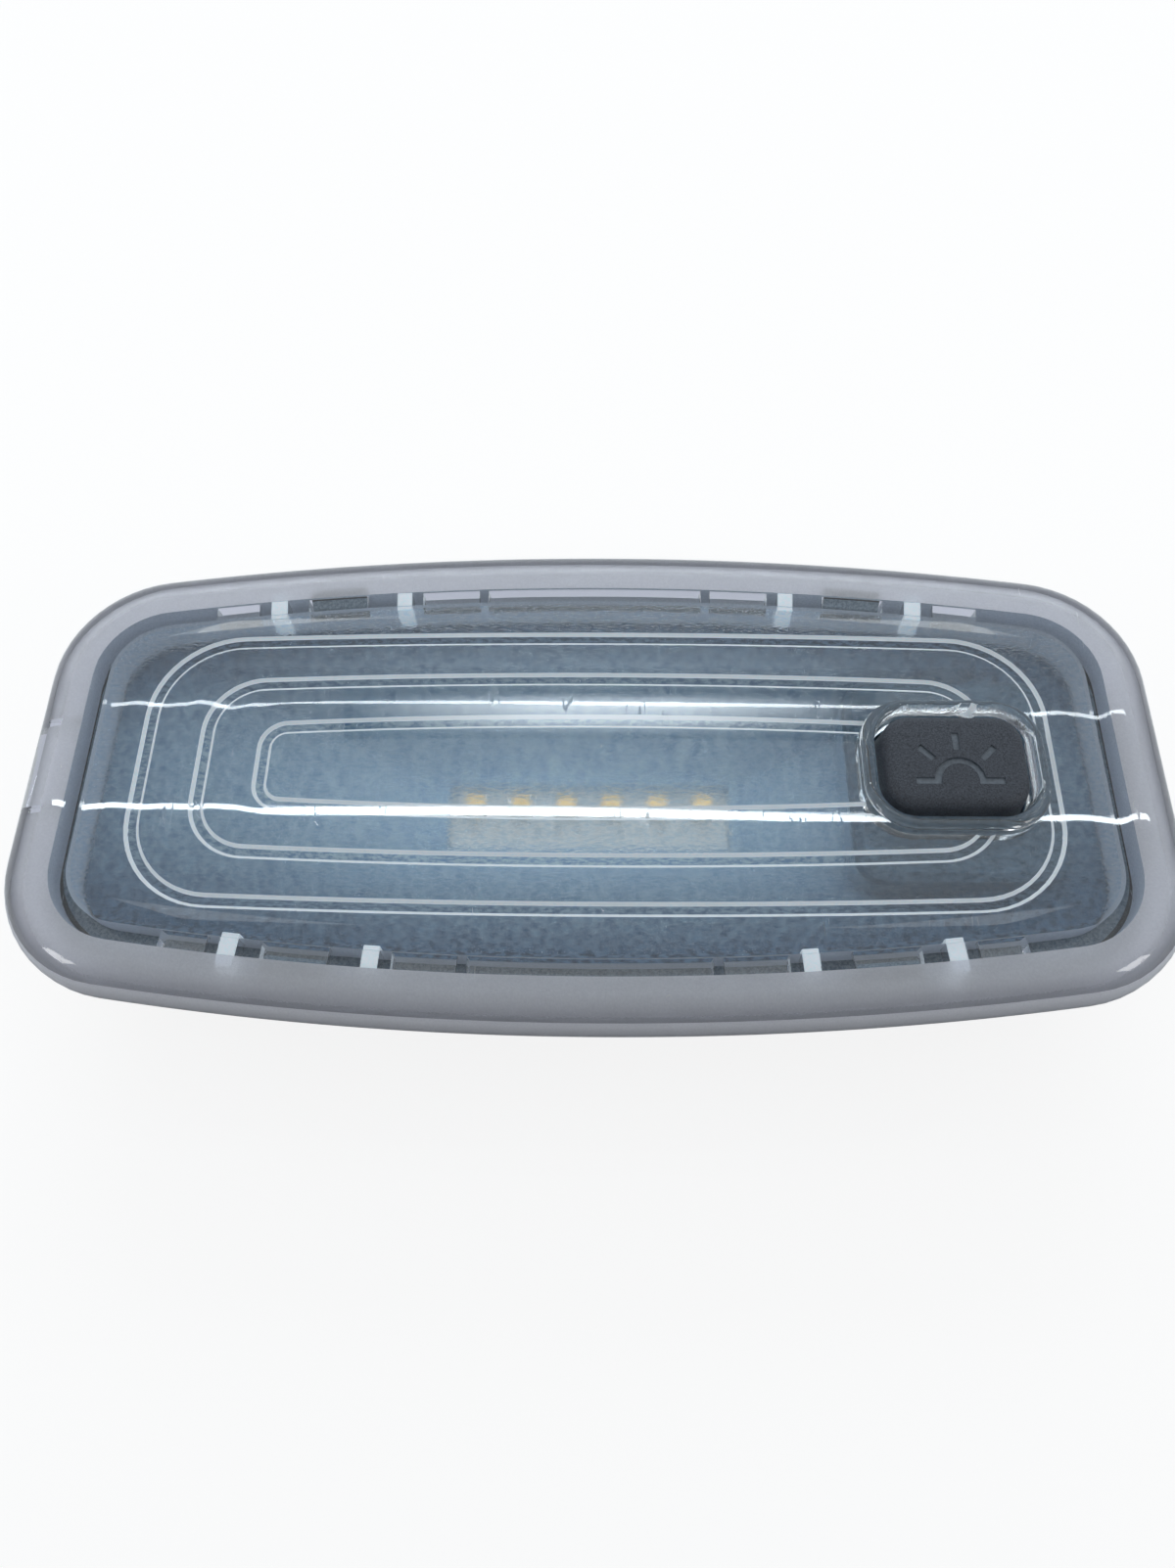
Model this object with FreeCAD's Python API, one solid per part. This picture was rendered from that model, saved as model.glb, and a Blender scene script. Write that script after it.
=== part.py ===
import FreeCAD, Part
import math
import os

from FreeCAD import Vector

# Trunk light, lens upwards: X runs along the lamp towards the button, Z rises from the flat back of the housing.

# Outline of the lens rim: bowed long sides, straight ends, round corners
LENGTH = 160.0
WIDTH = 73.6
SIDE_BOW = 7.0
CORNER_RADIUS = 17.8

# Lens front
SEAT_HEIGHT = 22.0
LENS_RISE = 6.0
LENS_WALL = 2.3
EDGE_ROUND = 4.6

# Skirt of the lens, with its windows, posts and gussets
SKIRT_INSET = 6.8
SKIRT_WALL = 2.4
SKIRT_DROP = 3.2
WINDOW_SILL = 1.0
WINDOW_HEIGHT = 1.9
SNAP_X = 38.6
SNAP_LENGTH = 9.0
SLOT_X = 21.6
SLOT_LENGTH = 8.6
MIDDLE_LENGTH = 32.0
END_SLOT_X = 53.6
END_SLOT_LENGTH = 6.4
POST_X = 28.6
POST_WIDTH = 2.2
POST_DEPTH = 0.7
GUSSET_X = 47.4
GUSSET_WIDTH = 2.4
GUSSET_REACH = 1.4
GUSSET_RISE = 1.2

# Ring ribs on the back of the lens
RING_COUNT = 3
RING_LENGTH = 128.4
RING_WIDTH = 44.0
RING_LENGTH_STEP = 16.8
RING_WIDTH_STEP = 13.8
RING_CORNER = 13.2
RING_CORNER_STEP = 4.5
RING_BOW = 1.4
RIB_WIDTH = 2.1
RIB_DEPTH = 0.7

# Screwdriver channel under the rim's left end
CHANNEL_WIDTH = 12.4
CHANNEL_HEIGHT = 2.0
CHANNEL_RIB = 1.2

# Push button and the lens collar round it
BUTTON_END = 30.2
BUTTON_LENGTH = 20.4
BUTTON_WIDTH = 15.0
BUTTON_CORNER = 4.4
BUTTON_PROUD = 1.8
BUTTON_BEVEL = 1.3
BUTTON_WALL = 1.6
BUTTON_TRAVEL = 1.2
BUTTON_GAP = 0.4
STOP_REACH = 0.8
STOP_THICKNESS = 1.4
STOP_GAP = 0.1
POST_DIAMETER = 5.0
COLLAR_WALL = 2.1
COLLAR_PROUD = 0.8
COLLAR_DROP = 1.9
COLLAR_BEVEL = 0.7

# Housing tub
HOUSING_WALL = 1.8
FLOOR = 1.8
BACK_BEVEL = 2.0
PANEL_THICKNESS = 2.5
FIT_GAP = 0.3
SHELF_DROP = 1.1
ARM_THICKNESS = 1.4
ARM_ROOT = 2.0
HOOK_REACH = 1.1
HOOK_NOSE = 0.6
HOOK_PLAY = 0.1
TONGUE_WIDTH = 25.0
TONGUE_THICKNESS = 2.0
CLIP_INSET = 2.8
BRACE_X = (12.0, 48.0)
BRACE_WIDTH = 1.4
BRACE_HEIGHT = 9.0

# Light tray: flange on the housing's shelf, sloped dish, window for the lamps
TRAY_SHELF = 2.0
TRAY_FLANGE = 1.8
DISH_WALL = 1.3
DISH_END = 20.0
DISH_SIDE = 17.8
LAMP_WINDOW_LENGTH = 42.6
LAMP_WINDOW_WIDTH = 10.6
LAMP_WINDOW_X = -0.7
LAMP_WINDOW_Y = -1.0
FRAME_HEIGHT = 1.2

# Switch tower of the tray
TOWER_LENGTH = 29.0
TOWER_WIDTH = 31.2
TOWER_SHIFT = 1.1
TOWER_CORNER = 4.0
TOWER_BEVEL = 1.0
TOWER_WALL = 1.4
TOWER_PLATE = 1.6
TOWER_GAP = 0.4

# Circuit board on four stands, two of them with stakes
BOARD_BOTTOM = 7.1
BOARD_THICKNESS = 1.6
BOARD_LEFT = -45.0
BOARD_END = 12.2
BOARD_WIDTH = 26.0
BOARD_CORNER = 2.0
BOARD_GAP = 0.3
STAKE_X = (-41.0, 30.0)
STAKE_Y = 10.0
STAND_SIZE = 4.0
STAKE_DIAMETER = 2.0
STAKE_PLAY = 0.1
STAKE_RISE = 0.9

# Row of lamps
LED_COUNT = 6
LED_PITCH = 6.9
LED_Y = 1.0
LED_LENGTH = 3.5
LED_WIDTH = 2.8
LED_HEIGHT = 1.9
LED_WALL = 0.4
LED_WELL = 0.7
PHOSPHOR_THICKNESS = 0.6

# Switch under the button
SWITCH_SIZE = 7.0
SWITCH_HEIGHT = 5.0
PLUNGER_DIAMETER = 3.4
PLUNGER_PLAY = 0.05
PLUNGER_RISE = 3.0
PLUNGER_LENGTH = 5.4
PLUNGER_REST = 0.6
TOUCH_GAP = 0.05

# Connector in the back
SOCKET_X = -34.0
SOCKET_LENGTH = 10.0
SOCKET_WIDTH = 8.0
SOCKET_WALL = 1.4
SOCKET_ROOF = 1.6
SOCKET_CORNER = 1.0
PIN_COUNT = 3
PIN_PITCH = 3.0
PIN_Y = 2.6
PIN_WIDTH = 1.5
PIN_THICKNESS = 0.8
PIN_RECESS = 1.2
PIN_RISE = 0.8
PIN_PLAY = 0.05

# Retaining spring at the left end
SPRING_WIDTH = 11.0
SPRING_THICKNESS = 0.5
SPRING_FOOT = 3.0
SPRING_KNEE = 9.5
SPRING_BULGE = 15.4
SPRING_TIP = 19.0
SPRING_TIP_SET = 1.0
SPRING_BEND = 0.8
POCKET_HEIGHT = 5.4
POCKET_WALL = 0.9
POCKET_PLAY = 0.05

# Lamp driver on the underside of the board
CHIP_X = 4.0
CHIP_LENGTH = 5.0
CHIP_WIDTH = 4.0
CHIP_HEIGHT = 1.6
LEG_COUNT = 4
LEG_PITCH = 1.27
LEG_WIDTH = 0.4
LEG_REACH = 1.0
LEG_THICKNESS = 0.3
CAPACITOR_X = (-18.0, -10.0)
CAPACITOR_DIAMETER = 5.0
CAPACITOR_HEIGHT = 4.2
CAPACITOR_BASE = 0.8
RESISTOR_X = (14.0, 18.0, 22.0)
RESISTOR_LENGTH = 3.2
RESISTOR_WIDTH = 1.6
RESISTOR_HEIGHT = 0.6
DIODE_X = -2.0
DIODE_Y = -6.5
DIODE_LENGTH = 4.3
DIODE_WIDTH = 2.6
DIODE_HEIGHT = 2.2

# Heights and insets that follow from the sizes above
UP = Vector(0, 0, 1)
MARGIN = 1.0
SIDE_RADIUS = ((LENGTH / 2) ** 2 + SIDE_BOW ** 2) / (2 * SIDE_BOW)
BUTTON_X = LENGTH / 2 - BUTTON_END
TOWER_X = BUTTON_X + TOWER_SHIFT
BOARD_RIGHT = BUTTON_X + BOARD_END
LENS_TOP = SEAT_HEIGHT + LENS_RISE
LENS_BACK = LENS_TOP - LENS_WALL
SKIRT_BOTTOM = SEAT_HEIGHT - SKIRT_DROP
WINDOW_LOW = SEAT_HEIGHT + WINDOW_SILL
HOUSING_TOP = SEAT_HEIGHT - PANEL_THICKNESS
SHELF_HEIGHT = HOUSING_TOP - SHELF_DROP
SHOULDER_INSET = SKIRT_INSET - FIT_GAP - HOUSING_WALL
TRAY_INSET = SKIRT_INSET + SKIRT_WALL + FIT_GAP
CAVITY_INSET = TRAY_INSET + TRAY_SHELF
BOX_INSET = CAVITY_INSET - HOUSING_WALL
TRAY_TOP = SHELF_HEIGHT + TRAY_FLANGE
BOARD_TOP = BOARD_BOTTOM + BOARD_THICKNESS
TRAY_BOTTOM = BOARD_TOP + BOARD_GAP
COLLAR_BOTTOM = LENS_BACK - COLLAR_DROP
TOWER_TOP = COLLAR_BOTTOM - TOWER_GAP
PLATE_BOTTOM = TOWER_TOP - TOWER_PLATE
BUTTON_TOP = LENS_TOP + BUTTON_PROUD
STOP_TOP = PLATE_BOTTOM - STOP_GAP
STOP_BOTTOM = STOP_TOP - STOP_THICKNESS
SWITCH_TOP = BOARD_TOP + SWITCH_HEIGHT
PLUNGER_TOP = SWITCH_TOP + PLUNGER_RISE
SOCKET_DEPTH = BOARD_BOTTOM - SOCKET_ROOF
WALL_X = -(LENGTH / 2 - BOX_INSET)
LEAF_X = WALL_X - POCKET_PLAY


def barrel_wire(half_length, half_width, side_radius, corner, height):
    """Closed outline with two bowed sides, two straight ends and four tangent corner arcs."""
    side_centre = half_width - side_radius
    corner_x = half_length - corner
    corner_y = side_centre + math.sqrt((side_radius - corner) ** 2 - corner_x ** 2)
    to_side = Vector(corner_x, corner_y - side_centre, 0).normalize()
    to_middle = (to_side + Vector(1, 0, 0)).normalize()
    centre = Vector(corner_x, corner_y, 0)
    end = Vector(half_length, corner_y, 0)
    bend = centre + to_middle * corner
    start = centre + to_side * corner
    crown = Vector(0, half_width, 0)

    def at(point, sign_x, sign_y):
        return Vector(point.x * sign_x, point.y * sign_y, height)

    def arc(first, middle, last):
        return Part.Arc(first, middle, last).toShape()

    edges = []
    edges.append(Part.makeLine(at(end, 1, -1), at(end, 1, 1)))
    edges.append(arc(at(end, 1, 1), at(bend, 1, 1), at(start, 1, 1)))
    edges.append(arc(at(start, 1, 1), at(crown, 1, 1), at(start, -1, 1)))
    edges.append(arc(at(start, -1, 1), at(bend, -1, 1), at(end, -1, 1)))
    edges.append(Part.makeLine(at(end, -1, 1), at(end, -1, -1)))
    edges.append(arc(at(end, -1, -1), at(bend, -1, -1), at(start, -1, -1)))
    edges.append(arc(at(start, -1, -1), at(crown, 1, -1), at(start, 1, -1)))
    edges.append(arc(at(start, 1, -1), at(bend, 1, -1), at(end, 1, -1)))
    return Part.Wire(edges)


def rim_wire(inset, height):
    """The rim's outline, drawn in by an even inset."""
    return barrel_wire(LENGTH / 2 - inset, WIDTH / 2 - inset, SIDE_RADIUS - inset, CORNER_RADIUS - inset, height)


def rim_block(inset, low, high):
    return Part.Face(rim_wire(inset, low)).extrude(UP * (high - low))


def rim_band(outer_inset, inner_inset, low, high):
    return rim_block(outer_inset, low, high).cut(rim_block(inner_inset, low, high))


def box(x_low, x_high, y_low, y_high, low, high):
    return Part.makeBox(x_high - x_low, y_high - y_low, high - low, Vector(x_low, y_low, low))


def upright_edges(shape):
    return [edge for edge in shape.Edges if abs(edge.tangentAt(edge.FirstParameter).z) > 0.99]


def edges_of_face(shape, level):
    """Edges of the face whose middle is highest (level 1) or lowest (level -1)."""
    face = max(shape.Faces, key=lambda item: level * item.CenterOfMass.z)
    return face.Edges


def round_block(length, width, corner, low, high, x=0.0, y=0.0):
    """Upright block with round corners, centred on x and y."""
    block = box(x - length / 2, x + length / 2, y - width / 2, y + width / 2, low, high)
    return block.makeFillet(corner, upright_edges(block))


def cylinder(diameter, low, high, x, y):
    return Part.makeCylinder(diameter / 2, high - low, Vector(x, y, low))


def on_sides(shape, places):
    """Copies of a shape, modelled at the origin with +Y outwards, on the skirt's face at both long sides."""
    radius = SIDE_RADIUS - SKIRT_INSET
    copies = []
    for x in places:
        turn = math.asin(x / radius)
        copy = shape.copy()
        copy.rotate(Vector(), UP, -math.degrees(turn))
        copy.translate(Vector(x, WIDTH / 2 - SKIRT_INSET - radius * (1 - math.cos(turn)), 0))
        copies.append(copy)
        opposite = copy.copy()
        opposite.rotate(Vector(), UP, 180)
        copies.append(opposite)
    return copies


def pair(x):
    return (-x, x)


def skirt_features():
    """Skirt with its gussets and posts, before the windows are cut."""
    high = LENS_BACK + LENS_WALL / 2
    skirt = rim_band(SKIRT_INSET, SKIRT_INSET + SKIRT_WALL, SKIRT_BOTTOM, high)
    low = TRAY_TOP + GUSSET_RISE - MARGIN / 2
    half = GUSSET_WIDTH / 2
    gusset = box(-half, half, -SKIRT_WALL - POST_DEPTH, GUSSET_REACH, low, high)
    half = POST_WIDTH / 2
    post = box(-half, half, -SKIRT_WALL - POST_DEPTH, -SKIRT_WALL / 2, low, high)
    return skirt.fuse(on_sides(gusset, pair(GUSSET_X)) + on_sides(post, pair(POST_X)))


def skirt_windows():
    """Cutters for the row of windows along both long sides of the skirt."""
    cutters = []
    high = WINDOW_LOW + WINDOW_HEIGHT
    rows = [(SNAP_LENGTH, pair(SNAP_X)), (SLOT_LENGTH, pair(SLOT_X))]
    rows += [(MIDDLE_LENGTH, (0.0,)), (END_SLOT_LENGTH, pair(END_SLOT_X))]
    for length, places in rows:
        half = length / 2
        window = box(-half, half, -SKIRT_WALL - MARGIN, MARGIN, WINDOW_LOW, high)
        cutters += on_sides(window, places)
    return cutters


def ring_ribs():
    """Three nested ribs that stand off the back of the lens."""
    crest = LENS_BACK - RIB_DEPTH
    ribs = []
    for index in range(RING_COUNT):
        half_length = (RING_LENGTH - index * RING_LENGTH_STEP) / 2
        half_width = (RING_WIDTH - index * RING_WIDTH_STEP) / 2
        corner = RING_CORNER - index * RING_CORNER_STEP
        side_radius = (half_length ** 2 + RING_BOW ** 2) / (2 * RING_BOW)
        faces = []
        for inset in (0.0, RIB_WIDTH):
            sizes = (half_length - inset, half_width - inset, side_radius - inset, corner - inset)
            faces.append(Part.Face(barrel_wire(*sizes, crest)))
        ribs.append(faces[0].cut(faces[1]).extrude(UP * (RIB_DEPTH + LENS_WALL / 2)))
    return ribs


def button_block(grow, low, high):
    """Upright block with the button's outline, grown by an even amount."""
    length = BUTTON_LENGTH + 2 * grow
    width = BUTTON_WIDTH + 2 * grow
    return round_block(length, width, BUTTON_CORNER + grow, low, high, BUTTON_X)


def collar():
    """Clear bead round the button, raised from the front with a bevelled lip."""
    outer = button_block(BUTTON_GAP + COLLAR_WALL, COLLAR_BOTTOM, LENS_TOP + COLLAR_PROUD)
    inner = button_block(BUTTON_GAP, COLLAR_BOTTOM, LENS_TOP + COLLAR_PROUD)
    bead = outer.cut(inner)
    return bead.makeChamfer(COLLAR_BEVEL, edges_of_face(bead, 1))


def lens():
    """Clear moulding: rolled rim, skirt, ring ribs, button collar and screwdriver channel."""
    body = rim_block(0.0, SEAT_HEIGHT, LENS_TOP)
    body = body.makeFillet(EDGE_ROUND, edges_of_face(body, 1))
    hollow = rim_block(LENS_WALL, SEAT_HEIGHT - MARGIN, LENS_BACK)
    hollow = hollow.makeChamfer(EDGE_ROUND - LENS_WALL, edges_of_face(hollow, 1))

    rib_side = CHANNEL_WIDTH / 2
    ribs = []
    for low in (rib_side, -rib_side - CHANNEL_RIB):
        from_x = -LENGTH / 2 + LENS_WALL / 2
        to_x = -LENGTH / 2 + SKIRT_INSET + SKIRT_WALL / 2
        high = LENS_BACK + LENS_WALL / 2
        ribs.append(box(from_x, to_x, low, low + CHANNEL_RIB, SEAT_HEIGHT + HOOK_NOSE, high))
    notch_end = -LENGTH / 2 + LENS_WALL + MARGIN / 2
    notch_top = SEAT_HEIGHT + CHANNEL_HEIGHT
    notch = box(-LENGTH / 2 - MARGIN, notch_end, -rib_side, rib_side, SEAT_HEIGHT - MARGIN, notch_top)

    shell = body.cut(hollow).fuse([skirt_features()] + ribs + ring_ribs())
    opening = button_block(BUTTON_GAP + COLLAR_WALL / 2, SKIRT_BOTTOM, LENS_TOP + LENS_RISE)
    shell = shell.cut(skirt_windows() + [notch, opening])
    return shell.fuse(collar()).removeSplitter()


def prism(points, half_width):
    """Profile of (outward, height) points, drawn out evenly to both sides along X."""
    corners = [Vector(-half_width, outward, height) for outward, height in points]
    return Part.Face(Part.makePolygon(corners + corners[:1])).extrude(Vector(2 * half_width, 0, 0))


def snap_arm():
    """Arm outside the skirt whose hook drops into a skirt window."""
    inner = FIT_GAP + HOOK_PLAY
    outer = inner + ARM_THICKNESS
    hook_low = WINDOW_LOW + HOOK_PLAY
    hook_high = hook_low + HOOK_REACH + HOOK_NOSE
    nose = inner - FIT_GAP - HOOK_REACH
    points = [(inner, HOUSING_TOP - ARM_ROOT), (outer, HOUSING_TOP - ARM_ROOT), (outer, hook_high)]
    points += [(inner, hook_high), (nose, hook_low + HOOK_NOSE), (nose, hook_low), (inner, hook_low)]
    return prism(points, SNAP_LENGTH / 2 - FIT_GAP)


def spring_pocket():
    """Slotted block on the left wall that holds the foot of the spring."""
    slot_width = SPRING_THICKNESS + 2 * POCKET_PLAY
    face = WALL_X - slot_width - POCKET_WALL
    half = SPRING_WIDTH / 2 + POCKET_WALL
    low = SPRING_FOOT - POCKET_PLAY
    block = box(face, WALL_X + HOUSING_WALL / 2, -half, half, low - POCKET_WALL, low + POCKET_HEIGHT)
    half = SPRING_WIDTH / 2 + POCKET_PLAY
    slot = box(WALL_X - slot_width, WALL_X, -half, half, low, low + POCKET_HEIGHT + MARGIN)
    return block, slot


def stakes():
    """Places of the two stakes, on opposite corners of the four stands."""
    return [(STAKE_X[0], STAKE_Y), (STAKE_X[1], -STAKE_Y)]


def socket_block(grow, low, high):
    length = SOCKET_LENGTH + 2 * grow
    width = SOCKET_WIDTH + 2 * grow
    return round_block(length, width, SOCKET_CORNER + grow, low, high, SOCKET_X)


def housing():
    """Dark tub: shoulder round the skirt, shelf for the tray, snap arms, tongue, spring pocket, board stands."""
    tub = rim_block(BOX_INSET, 0.0, SHELF_HEIGHT)
    tub = tub.makeChamfer(BACK_BEVEL, edges_of_face(tub, -1))
    tub = tub.fuse(rim_block(SHOULDER_INSET, SHELF_HEIGHT - HOUSING_WALL, HOUSING_TOP))
    reach = BOX_INSET - SHOULDER_INSET - MARGIN / 2
    root = SKIRT_INSET - BOX_INSET
    high = SHELF_HEIGHT - HOUSING_WALL / 2
    points = [(root - MARGIN / 2, high - BRACE_HEIGHT), (root - MARGIN / 2, high), (root + reach, high)]
    points.append((root, high - BRACE_HEIGHT))
    brace = prism(points, BRACE_WIDTH / 2)
    added = []
    for x in BRACE_X:
        added += on_sides(brace, pair(x))
    tongue_start = LENGTH / 2 - SHOULDER_INSET - HOUSING_WALL / 2
    tongue_end = LENGTH / 2 - CLIP_INSET
    half = TONGUE_WIDTH / 2
    tongue = box(tongue_start, tongue_end, -half, half, HOUSING_TOP - TONGUE_THICKNESS, HOUSING_TOP)
    block, slot = spring_pocket()
    tub = tub.fuse(added + [tongue, block])
    cavity = rim_block(CAVITY_INSET, FLOOR, SHELF_HEIGHT + MARGIN)
    mouth = rim_block(SKIRT_INSET - FIT_GAP, SHELF_HEIGHT, HOUSING_TOP + MARGIN)
    tub = tub.cut([cavity, mouth, slot])
    half = STAND_SIZE / 2
    stands = [box(x - half, x + half, y - half, y + half, FLOOR / 2, BOARD_BOTTOM)
              for x in STAKE_X for y in pair(STAKE_Y)]
    stands += [cylinder(STAKE_DIAMETER, BOARD_BOTTOM - MARGIN, BOARD_TOP + STAKE_RISE, x, y) for x, y in stakes()]
    tub = tub.fuse(stands + on_sides(snap_arm(), pair(SNAP_X)))
    return tub.cut(socket_block(SOCKET_WALL + FIT_GAP, -MARGIN, FLOOR + MARGIN)).removeSplitter()


def rectangle(half_length, half_width, x, y, height):
    """Corners of a level rectangle, in order."""
    signs = ((1, -1), (1, 1), (-1, 1), (-1, -1))
    return [Vector(x + right * half_length, y + up * half_width, height) for right, up in signs]


def flat_face(corners):
    return Part.Face(Part.makePolygon(corners + corners[:1]))


def lamp_window(grow, height):
    half = (LAMP_WINDOW_LENGTH / 2 + grow, LAMP_WINDOW_WIDTH / 2 + grow)
    return rectangle(*half, LAMP_WINDOW_X, LAMP_WINDOW_Y, height)


def funnel(grow, height):
    """Block with four flat slopes, from the dish's mouth at a height down to the lamp window."""
    mouth = rectangle(LENGTH / 2 - DISH_END + grow, WIDTH / 2 - DISH_SIDE + grow, 0.0, 0.0, height)
    foot = lamp_window(grow, TRAY_BOTTOM)
    faces = [flat_face(mouth), flat_face(foot)]
    for index in range(len(mouth)):
        faces.append(flat_face([mouth[index - 1], mouth[index], foot[index], foot[index - 1]]))
    return Part.Solid(Part.Shell(faces))


def tower_block(inset, low, high):
    length = TOWER_LENGTH - 2 * inset
    width = TOWER_WIDTH - 2 * inset
    return round_block(length, width, TOWER_CORNER - inset, low, high, TOWER_X)


def light_tray():
    """Dark dish that slopes from its flange to the lamp window, with the tower that guides the button."""
    tray = rim_block(TRAY_INSET, SHELF_HEIGHT, TRAY_TOP).fuse(funnel(DISH_WALL, SHELF_HEIGHT))
    tray = tray.cut(funnel(0.0, TRAY_TOP))
    frame_face = flat_face(lamp_window(DISH_WALL, TRAY_BOTTOM)).cut(flat_face(lamp_window(0.0, TRAY_BOTTOM)))
    frame = frame_face.extrude(UP * FRAME_HEIGHT)
    tower = tower_block(0.0, TRAY_BOTTOM, TOWER_TOP)
    tower = tower.makeChamfer(TOWER_BEVEL, edges_of_face(tower, 1))
    room = tower_block(TOWER_WALL, TRAY_BOTTOM - MARGIN, PLATE_BOTTOM)
    tray = tray.fuse([frame, tower])
    return tray.cut([room, button_block(BUTTON_GAP, PLATE_BOTTOM - MARGIN, TOWER_TOP + MARGIN)]).removeSplitter()


def push_button():
    """Hollow cap with a stop ledge on each long side, under the tower's plate, and a post down to the plunger."""
    cap = button_block(0.0, STOP_BOTTOM, BUTTON_TOP)
    cap = cap.makeChamfer(BUTTON_BEVEL, edges_of_face(cap, 1))
    half = BUTTON_LENGTH / 2 - BUTTON_CORNER
    reach = BUTTON_WIDTH / 2 + STOP_REACH
    stop = box(BUTTON_X - half, BUTTON_X + half, -reach, reach, STOP_BOTTOM, STOP_TOP)
    hollow = button_block(-BUTTON_WALL, STOP_BOTTOM - MARGIN, BUTTON_TOP - BUTTON_WALL - MARGIN)
    post = cylinder(POST_DIAMETER, PLUNGER_TOP + TOUCH_GAP, BUTTON_TOP - BUTTON_WALL, BUTTON_X, 0.0)
    return cap.fuse(stop).cut(hollow).fuse(post).removeSplitter()


def circuit_board():
    """White board with holes for the stakes and the connector pins."""
    middle = (BOARD_LEFT + BOARD_RIGHT) / 2
    board = round_block(BOARD_RIGHT - BOARD_LEFT, BOARD_WIDTH, BOARD_CORNER, BOARD_BOTTOM, BOARD_TOP, middle)
    low = BOARD_BOTTOM - MARGIN
    high = BOARD_TOP + MARGIN
    holes = [cylinder(STAKE_DIAMETER + 2 * STAKE_PLAY, low, high, x, y) for x, y in stakes()]
    holes += [pin_block(index, PIN_PLAY, low, high) for index in range(PIN_COUNT)]
    return board.cut(holes)


def led(index):
    """Lamp package with its well, and the yellow fill in the well."""
    x = LAMP_WINDOW_X + (index - (LED_COUNT - 1) / 2) * LED_PITCH
    top = BOARD_TOP + LED_HEIGHT
    floor = top - LED_WELL
    half = (LED_LENGTH / 2, LED_WIDTH / 2)
    package = box(x - half[0], x + half[0], LED_Y - half[1], LED_Y + half[1], BOARD_TOP, top)
    half = (half[0] - LED_WALL, half[1] - LED_WALL)
    well = box(x - half[0], x + half[0], LED_Y - half[1], LED_Y + half[1], floor, top)
    fill_top = floor + PHOSPHOR_THICKNESS
    fill = box(x - half[0], x + half[0], LED_Y - half[1], LED_Y + half[1], floor, fill_top)
    return package.cut(well), fill


def switch_body():
    half = SWITCH_SIZE / 2
    body = box(BUTTON_X - half, BUTTON_X + half, -half, half, BOARD_TOP, SWITCH_TOP)
    bore_low = PLUNGER_TOP - PLUNGER_LENGTH - BUTTON_TRAVEL - PLUNGER_REST
    bore = cylinder(PLUNGER_DIAMETER + 2 * PLUNGER_PLAY, bore_low, SWITCH_TOP + MARGIN, BUTTON_X, 0.0)
    return body.cut(bore)


def switch_plunger():
    return cylinder(PLUNGER_DIAMETER, PLUNGER_TOP - PLUNGER_LENGTH, PLUNGER_TOP, BUTTON_X, 0.0)


def pin_block(index, grow, low, high):
    x = SOCKET_X + (index - (PIN_COUNT - 1) / 2) * PIN_PITCH
    half_x = PIN_WIDTH / 2 + grow
    half_y = PIN_THICKNESS / 2 + grow
    return box(x - half_x, x + half_x, PIN_Y - half_y, PIN_Y + half_y, low, high)


def connector_pin(index):
    return pin_block(index, 0.0, PIN_RECESS, BOARD_TOP + PIN_RISE)


def connector_header():
    """Socket that opens in the back, hung from the board."""
    header = socket_block(SOCKET_WALL, 0.0, BOARD_BOTTOM)
    slots = [pin_block(index, PIN_PLAY, 0.0, BOARD_BOTTOM + MARGIN) for index in range(PIN_COUNT)]
    return header.cut([socket_block(0.0, -MARGIN, SOCKET_DEPTH)] + slots)


def retaining_spring():
    """Bent leaf: foot in the pocket, bulge that catches behind the panel, tip turned back in."""
    bulge = -(LENGTH / 2 - CLIP_INSET)
    thick = SPRING_THICKNESS
    outer = [(LEAF_X - thick, SPRING_FOOT), (LEAF_X - thick, SPRING_KNEE)]
    outer += [(bulge, SPRING_BULGE), (bulge + SPRING_TIP_SET, SPRING_TIP)]
    inner = [(x + thick, height) for x, height in reversed(outer)]
    corners = [Vector(x, -SPRING_WIDTH / 2, height) for x, height in outer + inner]
    leaf = Part.Face(Part.makePolygon(corners + corners[:1])).extrude(Vector(0, SPRING_WIDTH, 0))
    bends = [edge for edge in leaf.Edges if is_bend(edge)]
    return leaf.makeFillet(SPRING_BEND, bends)


def is_bend(edge):
    """True for an edge across the leaf at its knee or its bulge."""
    across = abs(edge.tangentAt(edge.FirstParameter).y) > 0.99
    height = edge.CenterOfMass.z
    return across and SPRING_FOOT < height < SPRING_TIP


def driver_chip():
    """Chip under the board, with a row of legs on each long side."""
    low = BOARD_BOTTOM - CHIP_HEIGHT
    half = CHIP_WIDTH / 2
    chip = box(CHIP_X - CHIP_LENGTH / 2, CHIP_X + CHIP_LENGTH / 2, -half, half, low, BOARD_BOTTOM - LEG_THICKNESS / 2)
    legs = []
    for index in range(LEG_COUNT):
        x = CHIP_X + (index - (LEG_COUNT - 1) / 2) * LEG_PITCH
        foot = BOARD_BOTTOM - LEG_THICKNESS
        legs.append(box(x - LEG_WIDTH / 2, x + LEG_WIDTH / 2, -half - LEG_REACH, half + LEG_REACH, foot, BOARD_BOTTOM))
    return chip.fuse(legs).removeSplitter()


def capacitor(x):
    """Round can on a square base, hung under the board."""
    half = CAPACITOR_DIAMETER / 2
    base_low = BOARD_BOTTOM - CAPACITOR_BASE
    base = box(x - half, x + half, -half, half, base_low, BOARD_BOTTOM)
    can = cylinder(CAPACITOR_DIAMETER - CAPACITOR_BASE / 2, BOARD_BOTTOM - CAPACITOR_HEIGHT, base_low, x, 0.0)
    return base.fuse(can)


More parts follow.
